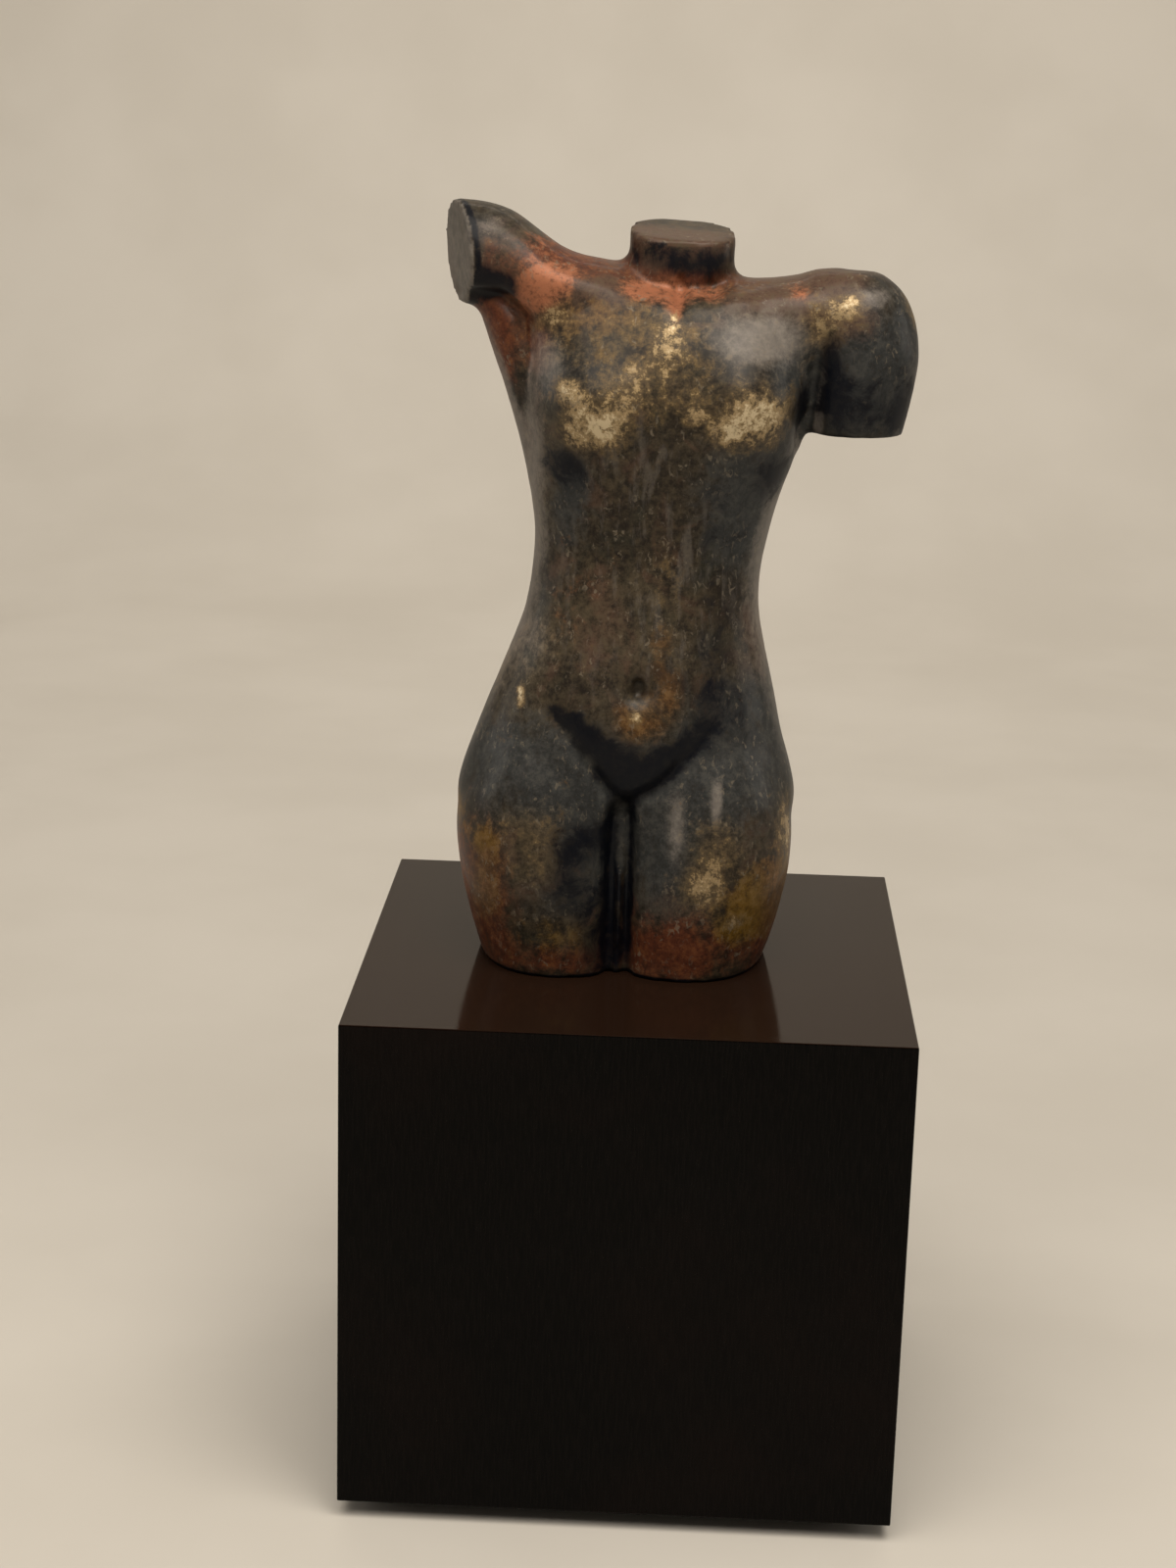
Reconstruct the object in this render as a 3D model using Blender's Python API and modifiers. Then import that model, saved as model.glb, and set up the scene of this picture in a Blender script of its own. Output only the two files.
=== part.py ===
"""A cast resin torso on its square plinth. Metres, +Z up, the front towards -Y.

The origin is at the bottom centre of the plinth. The torso is a free form: its places and widths are
shares of its own height, measured from the middle of the plinth's top. The plinth has real sizes.
"""
import math

import bmesh
import bpy
import numpy as np
from mathutils import Matrix, Vector

# Plinth
PLINTH_WIDTH = 0.600
PLINTH_DEPTH = 0.600
PLINTH_BODY_HEIGHT = 0.549
PLINTH_EDGE_ROUND = 0.0015
EDGE_STEPS = 2
BASE_HEIGHT = 0.020
BASE_SETBACK = 0.040
CONTACT_GAP = 0.0003

# Torso: the grain is the size of its skin's faces before they are thinned out, a share of its height
TORSO_HEIGHT = 0.820
FORM_GRAIN = 0.0075
BLEND_PASSES = 9
FACES_KEPT = 0.155
RING_SIDES = 48
ROWS_BETWEEN_STATIONS = 5
FACES_FULLY = 0.35
SHARP_EDGE = math.radians(50)

# Trunk, as (height, left edge, right edge, front, back) of each level, in shares of the torso's height
TRUNK = (
    (0.150, -0.215, 0.180, 0.128, 0.120),
    (0.190, -0.244, 0.202, 0.142, 0.142),
    (0.220, -0.250, 0.210, 0.148, 0.152),
    (0.256, -0.243, 0.204, 0.150, 0.154),
    (0.312, -0.223, 0.188, 0.149, 0.146),
    (0.366, -0.203, 0.176, 0.144, 0.126),
    (0.421, -0.181, 0.162, 0.137, 0.098),
    (0.474, -0.163, 0.151, 0.129, 0.078),
    (0.528, -0.154, 0.149, 0.123, 0.068),
    (0.580, -0.152, 0.158, 0.122, 0.074),
    (0.634, -0.158, 0.171, 0.126, 0.088),
    (0.685, -0.160, 0.188, 0.131, 0.102),
    (0.740, -0.166, 0.199, 0.135, 0.114),
    (0.790, -0.170, 0.205, 0.132, 0.122),
    (0.840, -0.170, 0.206, 0.121, 0.120),
    (0.880, -0.156, 0.190, 0.100, 0.106),
    (0.905, -0.110, 0.150, 0.076, 0.086),
)
TRUNK_SQUARENESS = 2.25

# The muscle under the raised arm, as (height, left edge, right edge, front, back)
FLANK = (
    (0.560, -0.146, -0.090, 0.024, 0.050),
    (0.620, -0.157, -0.090, 0.040, 0.070),
    (0.690, -0.172, -0.096, 0.046, 0.084),
    (0.760, -0.194, -0.106, 0.048, 0.090),
    (0.815, -0.214, -0.118, 0.050, 0.088),
    (0.860, -0.229, -0.130, 0.052, 0.080),
    (0.900, -0.236, -0.140, 0.046, 0.066),
)

# Thighs, as (height, left edge, right edge, front, back)
LEFT_THIGH = (
    (-0.020, -0.206, -0.008, 0.152, 0.112),
    (0.030, -0.222, -0.008, 0.158, 0.120),
    (0.080, -0.236, -0.006, 0.162, 0.128),
    (0.130, -0.246, -0.006, 0.163, 0.134),
    (0.180, -0.250, -0.010, 0.160, 0.134),
    (0.225, -0.243, -0.018, 0.155, 0.110),
    (0.270, -0.226, -0.034, 0.146, 0.096),
    (0.320, -0.200, -0.056, 0.124, 0.080),
)
RIGHT_THIGH = (
    (-0.020, -0.034, 0.168, 0.152, 0.112),
    (0.030, -0.034, 0.184, 0.158, 0.120),
    (0.080, -0.036, 0.197, 0.162, 0.128),
    (0.130, -0.036, 0.206, 0.163, 0.134),
    (0.180, -0.030, 0.208, 0.160, 0.134),
    (0.225, -0.020, 0.203, 0.155, 0.110),
    (0.270, -0.004, 0.190, 0.146, 0.096),
    (0.320, 0.018, 0.168, 0.124, 0.080),
)
OUTER_THIGH_SQUARENESS = 2.15
INNER_THIGH_SQUARENESS = 2.9

# Hanging arm, as (height, left edge, right edge, front, back)
HANGING_ARM = (
    (0.700, 0.196, 0.324, 0.060, 0.060),
    (0.725, 0.194, 0.329, 0.068, 0.066),
    (0.770, 0.188, 0.338, 0.074, 0.072),
    (0.815, 0.180, 0.344, 0.077, 0.076),
    (0.850, 0.174, 0.342, 0.078, 0.077),
    (0.880, 0.170, 0.334, 0.074, 0.074),
    (0.905, 0.174, 0.318, 0.062, 0.064),
    (0.928, 0.200, 0.288, 0.040, 0.042),
)
NECK_SQUARENESS = 2.6
LIMB_SQUARENESS = 2.1

# Shoulder line and raised arm, as (side place, middle height, half height, front, back)
SHOULDERS = (
    (-0.320, 0.939, 0.056, 0.052, 0.052),
    (-0.290, 0.940, 0.063, 0.060, 0.060),
    (-0.255, 0.938, 0.067, 0.066, 0.064),
    (-0.220, 0.934, 0.068, 0.068, 0.066),
    (-0.185, 0.921, 0.069, 0.072, 0.070),
    (-0.150, 0.897, 0.068, 0.078, 0.076),
    (-0.110, 0.878, 0.064, 0.084, 0.084),
    (-0.060, 0.870, 0.063, 0.086, 0.090),
    (0.000, 0.865, 0.060, 0.084, 0.092),
    (0.060, 0.862, 0.059, 0.082, 0.092),
    (0.120, 0.856, 0.059, 0.080, 0.088),
    (0.180, 0.854, 0.066, 0.078, 0.082),
    (0.240, 0.855, 0.076, 0.072, 0.074),
    (0.285, 0.848, 0.060, 0.056, 0.058),
)

# Neck, as (height, left edge, right edge, front, back)
NECK = (
    (0.840, -0.046, 0.103, 0.058, 0.078),
    (0.900, -0.043, 0.101, 0.055, 0.074),
    (0.930, -0.039, 0.100, 0.054, 0.072),
    (0.960, -0.037, 0.100, 0.054, 0.071),
    (1.040, -0.036, 0.100, 0.054, 0.070),
)

# Seat muscles, as (side place, depth place, height, side radius, depth radius, height radius)
SEAT = (
    (-0.116, 0.058, 0.222, 0.112, 0.104, 0.124),
    (0.076, 0.058, 0.222, 0.112, 0.104, 0.124),
)

# Swellings, as (side, across, height, radius across, radius up, rise)
SWELLINGS = (
    ("front", -0.071, 0.762, 0.060, 0.050, 0.022),
    ("front", 0.124, 0.768, 0.060, 0.050, 0.022),
    ("front", -0.012, 0.350, 0.080, 0.060, 0.008),
    ("back", -0.085, 0.790, 0.046, 0.070, 0.014),
    ("back", 0.112, 0.780, 0.046, 0.070, 0.014),
)

# Furrows, as (side, half width, depth, points); a negative depth makes a ridge.
# Each point is (across, up, how much of the depth it has).
FURROWS = (
    ("front", 0.013, 0.007, ((-0.15, 0.400, 0), (-0.092, 0.322, 1), (-0.046, 0.262, 1), (-0.02, 0.236, 0.8))),
    ("front", 0.013, 0.007, ((0.125, 0.385, 0), (0.065, 0.306, 1), (0.028, 0.264, 1), (-0.02, 0.236, 0.8))),
    ("front", 0.018, 0.005, ((0.030, 0.760, 0), (0.024, 0.680, 1), (0.010, 0.560, 1), (-0.002, 0.440, 0))),
    ("front", 0.014, 0.013, ((-0.005, 0.396, 1), (-0.005, 0.390, 1))),
    ("front", 0.010, 0.008, ((0.031, 0.915, 1), (0.031, 0.895, 1), (0.030, 0.860, 0))),
    ("front", 0.015, -0.005, ((-0.020, 0.892, 0), (-0.060, 0.894, 1), (-0.120, 0.912, 1), (-0.19, 0.935, 0))),
    ("front", 0.015, -0.005, ((0.070, 0.889, 0), (0.100, 0.887, 1), (0.160, 0.893, 1), (0.220, 0.905, 0))),
    ("front", 0.013, 0.007, ((-0.052, 0.930, 0), (-0.010, 0.908, 1), (0.030, 0.903, 1), (0.075, 0.907, 1))),
    ("front", 0.013, 0.007, ((0.075, 0.907, 1), (0.118, 0.922, 0))),
    ("front", 0.011, 0.012, ((-0.262, 0.886, 0.6), (-0.200, 0.884, 1), (-0.172, 0.86, 1), (-0.158, 0.79, 0))),
    ("front", 0.013, 0.012, ((0.202, 0.890, 0), (0.211, 0.850, 0.8), (0.208, 0.785, 1), (0.200, 0.715, 1))),
    ("back", 0.013, 0.012, ((0.204, 0.870, 0), (0.208, 0.785, 1), (0.200, 0.715, 1))),
    ("back", 0.026, 0.018, ((0.024, 0.880, 0), (0.014, 0.760, 1), (0.004, 0.560, 1), (-0.014, 0.380, 0.2))),
    ("back", 0.022, 0.026, ((-0.018, 0.345, 0), (-0.020, 0.270, 1), (-0.020, 0.110, 1))),
    ("back", 0.030, 0.010, ((-0.225, 0.150, 0), (-0.160, 0.112, 1), (-0.040, 0.100, 1))),
    ("back", 0.030, 0.010, ((0.190, 0.150, 0), (0.120, 0.112, 1), (0.000, 0.100, 1))),
)

# The gap between the thighs: a wall stands back between them, with a rib down its middle
GAP_LEFT = -0.039
GAP_RIGHT = -0.006
GAP_TOP = 0.234
GAP_TOP_FADE = 0.009
GAP_EDGE = 0.005
GAP_WALL_FRONT = 0.112
GAP_WALL_BACK = 0.070
GAP_BACK_TOP = 0.100
GAP_BACK_FADE = 0.018
RIB_RISE = 0.018
RIB_HALF_WIDTH = 0.006

# Flat cuts, as (point on the cut, the way that it faces), and the blocks that make them
NECK_CUT = ((0.032, 0.010, 0.973), (0.045, -0.16, 1.0))
RAISED_ARM_CUT = ((-0.260, 0.000, 0.938), (-1.0, -0.34, -0.08))
HANGING_ARM_CUT = ((0.000, 0.000, 0.7185), (0.0, -0.02, -1.0))
FOOT_CUT = ((0.000, 0.000, 0.000), (0.0, 0.0, -1.0))
LIMB_BLOCK = 0.30
FOOT_BLOCK = 0.80
BLOCK_THICKNESS = 0.080
HANGING_ARM_INNER = 0.2005
HANGING_ARM_LEAN = 0.32


def tidy_scene():
    """Start from an empty scene."""
    for thing in list(bpy.data.objects):
        bpy.data.objects.remove(thing, do_unlink=True)


def new_collection(name):
    made = bpy.data.collections.new(name)
    bpy.context.scene.collection.children.link(made)
    return made


def new_material(name, colour, roughness, metallic):
    made = bpy.data.materials.new(name)
    made.use_nodes = True
    shader = made.node_tree.nodes["Principled BSDF"]
    shader.inputs["Base Color"].default_value = (*colour, 1.0)
    shader.inputs["Roughness"].default_value = roughness
    shader.inputs["Metallic"].default_value = metallic
    made.diffuse_color = (*colour, 1.0)
    return made


def object_from_bmesh(name, form, collection):
    mesh = bpy.data.meshes.new(name)
    form.to_mesh(mesh)
    form.free()
    made = bpy.data.objects.new(name, mesh)
    collection.objects.link(made)
    return made


def add_box(name, size, centre, collection):
    """A box of a full size, with its middle at centre."""
    form = bmesh.new()
    bmesh.ops.create_cube(form, size=1.0)
    bmesh.ops.scale(form, vec=size, verts=form.verts)
    made = object_from_bmesh(name, form, collection)
    made.location = centre
    return made


def between_stations(stations):
    """The rows of a smooth run through the stations, a few for each step."""
    rows = np.array(stations, dtype=float)
    before = np.vstack([2 * rows[:1] - rows[1:2], rows[:-1]])
    after = np.vstack([rows[1:], 2 * rows[-1:] - rows[-2:-1]])
    slopes = (after - before) / 2
    run = []
    for here, there, leave, arrive in zip(rows[:-1], rows[1:], slopes[:-1], slopes[1:]):
        for step in range(ROWS_BETWEEN_STATIONS):
            t = step / ROWS_BETWEEN_STATIONS
            stay = 2 * t**3 - 3 * t**2 + 1
            bend = (t**3 - 2 * t**2 + t) * leave + (t**3 - t**2) * arrive
            run.append(stay * here + (1 - stay) * there + bend)
    run.append(rows[-1])
    return run


def rounded(angle, squareness):
    """The two places of an angle on a rounded square of half side 1, its left and right half unlike."""
    along, up = math.cos(angle), math.sin(angle)
    left, right = squareness
    power = 2 / (right if along > 0 else left)
    return math.copysign(abs(along) ** power, along), math.copysign(abs(up) ** power, up)


def level_ring(row, squareness):
    """A level section: its edges, its reach to the front and back, its left and right squareness."""
    height, left, right, front, back = row
    middle, half = (left + right) / 2, (right - left) / 2
    ring = []
    for side in range(RING_SIDES):
        across, deep = rounded(2 * math.pi * side / RING_SIDES, squareness)
        ring.append((middle + half * across, deep * (back if deep > 0 else front), height))
    return ring


def upright_ring(row, squareness):
    """An upright section across the body: its middle height, half height, front and back."""
    place, middle, half, front, back = row
    ring = []
    for side in range(RING_SIDES):
        deep, up = rounded(2 * math.pi * side / RING_SIDES, (squareness, squareness))
        ring.append((place, deep * (back if deep > 0 else front), middle + half * up))
    return ring


def add_loft(form, rings):
    """A closed skin through the rings, capped at both ends."""
    rows = [[form.verts.new(point) for point in ring] for ring in rings]
    for low, high in zip(rows[:-1], rows[1:]):
        for side in range(RING_SIDES):
            beside = (side + 1) % RING_SIDES
            form.faces.new((low[side], low[beside], high[beside], high[side]))
    form.faces.new(rows[0][::-1])
    form.faces.new(rows[-1])


def add_level_mass(form, stations, squareness):
    add_loft(form, [level_ring(row, squareness) for row in between_stations(stations)])


def add_ball(form, across, deep, height, across_radius, deep_radius, height_radius):
    made = bmesh.ops.create_uvsphere(form, u_segments=RING_SIDES, v_segments=RING_SIDES // 2, radius=1.0)
    bmesh.ops.scale(form, vec=(across_radius, deep_radius, height_radius), verts=made["verts"])
    bmesh.ops.translate(form, vec=(across, deep, height), verts=made["verts"])


def add_masses(collection):
    """The body's masses, overlapping, at full size."""
    form = bmesh.new()
    add_level_mass(form, TRUNK, (TRUNK_SQUARENESS, TRUNK_SQUARENESS))
    add_level_mass(form, FLANK, (LIMB_SQUARENESS, LIMB_SQUARENESS))
    add_level_mass(form, LEFT_THIGH, (OUTER_THIGH_SQUARENESS, INNER_THIGH_SQUARENESS))
    add_level_mass(form, RIGHT_THIGH, (INNER_THIGH_SQUARENESS, OUTER_THIGH_SQUARENESS))
    add_level_mass(form, HANGING_ARM, (LIMB_SQUARENESS, LIMB_SQUARENESS))
    add_level_mass(form, NECK, (NECK_SQUARENESS, NECK_SQUARENESS))
    add_loft(form, [upright_ring(row, LIMB_SQUARENESS) for row in between_stations(SHOULDERS)])
    for muscle in SEAT:
        add_ball(form, *muscle)
    bmesh.ops.recalc_face_normals(form, faces=form.faces)
    bmesh.ops.scale(form, vec=(TORSO_HEIGHT,) * 3, verts=form.verts)
    return object_from_bmesh("torso", form, collection)


def settle(thing):
    """Replace an object's mesh by what its modifiers make of it."""
    graph = bpy.context.evaluated_depsgraph_get()
    mesh = bpy.data.meshes.new_from_object(thing.evaluated_get(graph))
    rough = thing.data
    thing.modifiers.clear()
    thing.data = mesh
    bpy.data.meshes.remove(rough)
    mesh.name = thing.name


def blend_masses(thing):
    """Make one skin of the masses, and soften where they meet."""
    skin = thing.modifiers.new("one skin", "REMESH")
    skin.mode = "VOXEL"
    skin.voxel_size = FORM_GRAIN * TORSO_HEIGHT
    soften = thing.modifiers.new("soften", "SMOOTH")
    soften.factor = 0.5
    soften.iterations = BLEND_PASSES
    settle(thing)


def furrow_depth(across, height, half_width, path):
    """How deep a furrow is at each place on the front or back, from 0 to 1."""
    deepest = np.zeros(across.shape)
    for (x0, z0, depth0), (x1, z1, depth1) in zip(path[:-1], path[1:]):
        run_x, run_z = x1 - x0, z1 - z0
        share = np.clip(((across - x0) * run_x + (height - z0) * run_z) / (run_x**2 + run_z**2), 0, 1)
        away = np.hypot(across - x0 - share * run_x, height - z0 - share * run_z)
        depth = (depth0 + share * (depth1 - depth0)) * np.exp(-((away / half_width) ** 2))
        deepest = np.maximum(deepest, depth)
    return deepest


def facing(normals, side):
    """How much each place faces the front or the back, from 0 to 1."""
    towards = -normals[:, 1] if side == "front" else normals[:, 1]
    return np.clip(towards / FACES_FULLY, 0, 1)


def step_up(value, edge):
    """A soft step from 0 to 1 at 0."""
    return 0.5 + 0.5 * np.tanh(value / edge)


def sink_gap(places):
    """Push the skin between the thighs back to the wall that joins them, in front and behind."""
    across, deep, height = (places / TORSO_HEIGHT).T
    inside = step_up(across - GAP_LEFT, GAP_EDGE) * step_up(GAP_RIGHT - across, GAP_EDGE)
    middle = (GAP_LEFT + GAP_RIGHT) / 2
    rib = RIB_RISE * np.exp(-(((across - middle) / RIB_HALF_WIDTH) ** 2))
    front = inside * step_up(GAP_TOP - height, GAP_TOP_FADE) * (deep < -GAP_WALL_FRONT + rib)
    back = inside * step_up(GAP_BACK_TOP - height, GAP_BACK_FADE) * (deep > GAP_WALL_BACK)
    deep = deep + front * (-GAP_WALL_FRONT - rib - deep)
    deep = deep + back * (GAP_WALL_BACK - deep)
    places[:, 1] = deep * TORSO_HEIGHT


def model_surface(mesh):
    """Raise the swellings and cut the furrows, along the skin's own direction."""
    count = len(mesh.vertices)
    places = np.empty(count * 3)
    normals = np.empty(count * 3)
    mesh.vertices.foreach_get("co", places)
    mesh.vertex_normals.foreach_get("vector", normals)
    places, normals = places.reshape(-1, 3), normals.reshape(-1, 3)
    across, height = places[:, 0] / TORSO_HEIGHT, places[:, 2] / TORSO_HEIGHT
    rise = np.zeros(count)
    for side, x, z, radius_x, radius_z, lift in SWELLINGS:
        far = ((across - x) / radius_x) ** 2 + ((height - z) / radius_z) ** 2
        rise += lift * np.exp(-far) * facing(normals, side)
    for side, half_width, depth, path in FURROWS:
        rise -= depth * furrow_depth(across, height, half_width, path) * facing(normals, side)
    places += normals * (rise * TORSO_HEIGHT)[:, None]
    sink_gap(places)
    mesh.vertices.foreach_set("co", places.ravel())
    mesh.update()


def add_cutter(name, cut, side, collection):
    """A flat block with one face on the cut, standing off the way that the cut faces."""
    point, way = Vector(cut[0]) * TORSO_HEIGHT, Vector(cut[1]).normalized()
    beside = Vector((0, 1, 0)).cross(way).normalized()
    turn = Matrix((beside, way.cross(beside), way)).transposed()
    side *= TORSO_HEIGHT
    thick = BLOCK_THICKNESS * TORSO_HEIGHT
    block = add_box(name, (side, side, thick), point + way * (thick / 2), collection)
    block.rotation_euler = turn.to_euler()
    block.hide_render = True
    block.display_type = "WIRE"
    return block


def keep_trunk(block):
    """Set the hanging arm's block beside the trunk, leaning in below the cut as the trunk's side does."""
    block.location.x += (HANGING_ARM_INNER + LIMB_BLOCK / 2) * TORSO_HEIGHT
    for corner in block.data.vertices:
        below = corner.co.z + BLOCK_THICKNESS / 2 * TORSO_HEIGHT
        corner.co.x += below * HANGING_ARM_LEAN
    return block


def add_cut(thing, cutter):
    cut = thing.modifiers.new(cutter.name, "BOOLEAN")
    cut.operation = "DIFFERENCE"
    cut.solver = "EXACT"
    cut.object = cutter


def add_torso(parts, cutters, seat_height):
    """The torso, with its flat cuts, standing on the plinth's top."""
    torso = add_masses(parts)
    blend_masses(torso)
    model_surface(torso.data)
    fewer = torso.modifiers.new("fewer faces", "DECIMATE")
    fewer.ratio = FACES_KEPT
    made = [
        add_cutter("neck cut", NECK_CUT, LIMB_BLOCK, cutters),
        add_cutter("raised arm cut", RAISED_ARM_CUT, LIMB_BLOCK, cutters),
        keep_trunk(add_cutter("hanging arm cut", HANGING_ARM_CUT, LIMB_BLOCK, cutters)),
        add_cutter("foot cut", FOOT_CUT, FOOT_BLOCK, cutters),
    ]
    for cutter in made:
        add_cut(torso, cutter)
        cutter.location.z += seat_height
    torso.location.z = seat_height
    torso.data.shade_smooth()
    torso.data.set_sharp_from_angle(angle=SHARP_EDGE)
    torso.data.materials.append(new_material("patinated resin", (0.075, 0.062, 0.050), 0.28, 0.25))


def add_plinth(parts):
    """The block, with slightly eased edges, and the low base under it, set back all round."""
    base_size = (PLINTH_WIDTH - 2 * BASE_SETBACK, PLINTH_DEPTH - 2 * BASE_SETBACK, BASE_HEIGHT - CONTACT_GAP)
    base = add_box("plinth_base", base_size, (0, 0, base_size[2] / 2), parts)
    body_size = (PLINTH_WIDTH, PLINTH_DEPTH, PLINTH_BODY_HEIGHT)
    body = add_box("plinth_body", body_size, (0, 0, BASE_HEIGHT + PLINTH_BODY_HEIGHT / 2), parts)
    ease = body.modifiers.new("eased edges", "BEVEL")
    ease.width = PLINTH_EDGE_ROUND
    ease.segments = EDGE_STEPS
    base.data.materials.append(new_material("black base", (0.010, 0.009, 0.009), 0.6, 0.0))
    body.data.materials.append(new_material("dark lacquer", (0.012, 0.009, 0.007), 0.12, 0.0))


def build():
    tidy_scene()
    parts = new_collection("torso on plinth")
    cutters = new_collection("cutters")
    add_plinth(parts)
    add_torso(parts, cutters, BASE_HEIGHT + PLINTH_BODY_HEIGHT + CONTACT_GAP)


build()
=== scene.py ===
import math

import bmesh
import bpy
import numpy as np
from mathutils import Matrix, Vector


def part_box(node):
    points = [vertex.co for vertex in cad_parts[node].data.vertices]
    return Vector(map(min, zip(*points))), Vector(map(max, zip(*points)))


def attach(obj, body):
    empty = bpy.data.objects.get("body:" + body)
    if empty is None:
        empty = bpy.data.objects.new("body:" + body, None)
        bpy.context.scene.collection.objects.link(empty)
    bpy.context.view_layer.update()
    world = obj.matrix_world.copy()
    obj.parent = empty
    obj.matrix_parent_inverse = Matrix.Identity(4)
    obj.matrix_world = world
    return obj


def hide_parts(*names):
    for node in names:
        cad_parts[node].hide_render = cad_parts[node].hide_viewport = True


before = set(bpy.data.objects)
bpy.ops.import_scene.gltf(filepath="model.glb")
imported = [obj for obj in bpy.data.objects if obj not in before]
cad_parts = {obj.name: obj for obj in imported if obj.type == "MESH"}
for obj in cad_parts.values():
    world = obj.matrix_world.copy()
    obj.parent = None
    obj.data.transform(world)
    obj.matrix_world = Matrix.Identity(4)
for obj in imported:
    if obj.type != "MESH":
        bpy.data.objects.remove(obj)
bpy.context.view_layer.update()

# Torso: the same masses, swellings, furrows and cuts as the solid, in shares of its height
TORSO_HEIGHT = 0.820
FORM_GRAIN = 0.0075
BLEND_PASSES = 9
SOFTENING = 0.5
RING_SIDES = 48
ROWS_BETWEEN_STATIONS = 5
FACES_FULLY = 0.35

# Level sections, as (height, left edge, right edge, front, back)
TRUNK = (
    (0.150, -0.215, 0.180, 0.128, 0.120),
    (0.190, -0.244, 0.202, 0.142, 0.142),
    (0.220, -0.250, 0.210, 0.148, 0.152),
    (0.256, -0.243, 0.204, 0.150, 0.154),
    (0.312, -0.223, 0.188, 0.149, 0.146),
    (0.366, -0.203, 0.176, 0.144, 0.126),
    (0.421, -0.181, 0.162, 0.137, 0.098),
    (0.474, -0.163, 0.151, 0.129, 0.078),
    (0.528, -0.154, 0.149, 0.123, 0.068),
    (0.580, -0.152, 0.158, 0.122, 0.074),
    (0.634, -0.158, 0.171, 0.126, 0.088),
    (0.685, -0.160, 0.188, 0.131, 0.102),
    (0.740, -0.166, 0.199, 0.135, 0.114),
    (0.790, -0.170, 0.205, 0.132, 0.122),
    (0.840, -0.170, 0.206, 0.121, 0.120),
    (0.880, -0.156, 0.190, 0.100, 0.106),
    (0.905, -0.110, 0.150, 0.076, 0.086),
)
TRUNK_SQUARENESS = 2.25
FLANK = (
    (0.560, -0.146, -0.090, 0.024, 0.050),
    (0.620, -0.157, -0.090, 0.040, 0.070),
    (0.690, -0.172, -0.096, 0.046, 0.084),
    (0.760, -0.194, -0.106, 0.048, 0.090),
    (0.815, -0.214, -0.118, 0.050, 0.088),
    (0.860, -0.229, -0.130, 0.052, 0.080),
    (0.900, -0.236, -0.140, 0.046, 0.066),
)
LEFT_THIGH = (
    (-0.020, -0.206, -0.008, 0.152, 0.112),
    (0.030, -0.222, -0.008, 0.158, 0.120),
    (0.080, -0.236, -0.006, 0.162, 0.128),
    (0.130, -0.246, -0.006, 0.163, 0.134),
    (0.180, -0.250, -0.010, 0.160, 0.134),
    (0.225, -0.243, -0.018, 0.155, 0.110),
    (0.270, -0.226, -0.034, 0.146, 0.096),
    (0.320, -0.200, -0.056, 0.124, 0.080),
)
RIGHT_THIGH = (
    (-0.020, -0.034, 0.168, 0.152, 0.112),
    (0.030, -0.034, 0.184, 0.158, 0.120),
    (0.080, -0.036, 0.197, 0.162, 0.128),
    (0.130, -0.036, 0.206, 0.163, 0.134),
    (0.180, -0.030, 0.208, 0.160, 0.134),
    (0.225, -0.020, 0.203, 0.155, 0.110),
    (0.270, -0.004, 0.190, 0.146, 0.096),
    (0.320, 0.018, 0.168, 0.124, 0.080),
)
OUTER_THIGH_SQUARENESS = 2.15
INNER_THIGH_SQUARENESS = 2.9
HANGING_ARM = (
    (0.700, 0.196, 0.324, 0.060, 0.060),
    (0.725, 0.194, 0.329, 0.068, 0.066),
    (0.770, 0.188, 0.338, 0.074, 0.072),
    (0.815, 0.180, 0.344, 0.077, 0.076),
    (0.850, 0.174, 0.342, 0.078, 0.077),
    (0.880, 0.170, 0.334, 0.074, 0.074),
    (0.905, 0.174, 0.318, 0.062, 0.064),
    (0.928, 0.200, 0.288, 0.040, 0.042),
)
NECK = (
    (0.840, -0.046, 0.103, 0.058, 0.078),
    (0.900, -0.043, 0.101, 0.055, 0.074),
    (0.930, -0.039, 0.100, 0.054, 0.072),
    (0.960, -0.037, 0.100, 0.054, 0.071),
    (1.040, -0.036, 0.100, 0.054, 0.070),
)
NECK_SQUARENESS = 2.6
LIMB_SQUARENESS = 2.1

# Shoulder line and raised arm, as (side place, middle height, half height, front, back)
SHOULDERS = (
    (-0.320, 0.939, 0.056, 0.052, 0.052),
    (-0.290, 0.940, 0.063, 0.060, 0.060),
    (-0.255, 0.938, 0.067, 0.066, 0.064),
    (-0.220, 0.934, 0.068, 0.068, 0.066),
    (-0.185, 0.921, 0.069, 0.072, 0.070),
    (-0.150, 0.897, 0.068, 0.078, 0.076),
    (-0.110, 0.878, 0.064, 0.084, 0.084),
    (-0.060, 0.870, 0.063, 0.086, 0.090),
    (0.000, 0.865, 0.060, 0.084, 0.092),
    (0.060, 0.862, 0.059, 0.082, 0.092),
    (0.120, 0.856, 0.059, 0.080, 0.088),
    (0.180, 0.854, 0.066, 0.078, 0.082),
    (0.240, 0.855, 0.076, 0.072, 0.074),
    (0.285, 0.848, 0.060, 0.056, 0.058),
)

# Seat muscles, as (side place, depth place, height, side radius, depth radius, height radius)
SEAT = (
    (-0.116, 0.058, 0.222, 0.112, 0.104, 0.124),
    (0.076, 0.058, 0.222, 0.112, 0.104, 0.124),
)

# Swellings, as (side, across, height, radius across, radius up, rise)
SWELLINGS = (
    ("front", -0.071, 0.762, 0.060, 0.050, 0.022),
    ("front", 0.124, 0.768, 0.060, 0.050, 0.022),
    ("front", -0.012, 0.350, 0.080, 0.060, 0.008),
    ("back", -0.085, 0.790, 0.046, 0.070, 0.014),
    ("back", 0.112, 0.780, 0.046, 0.070, 0.014),
)

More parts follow.
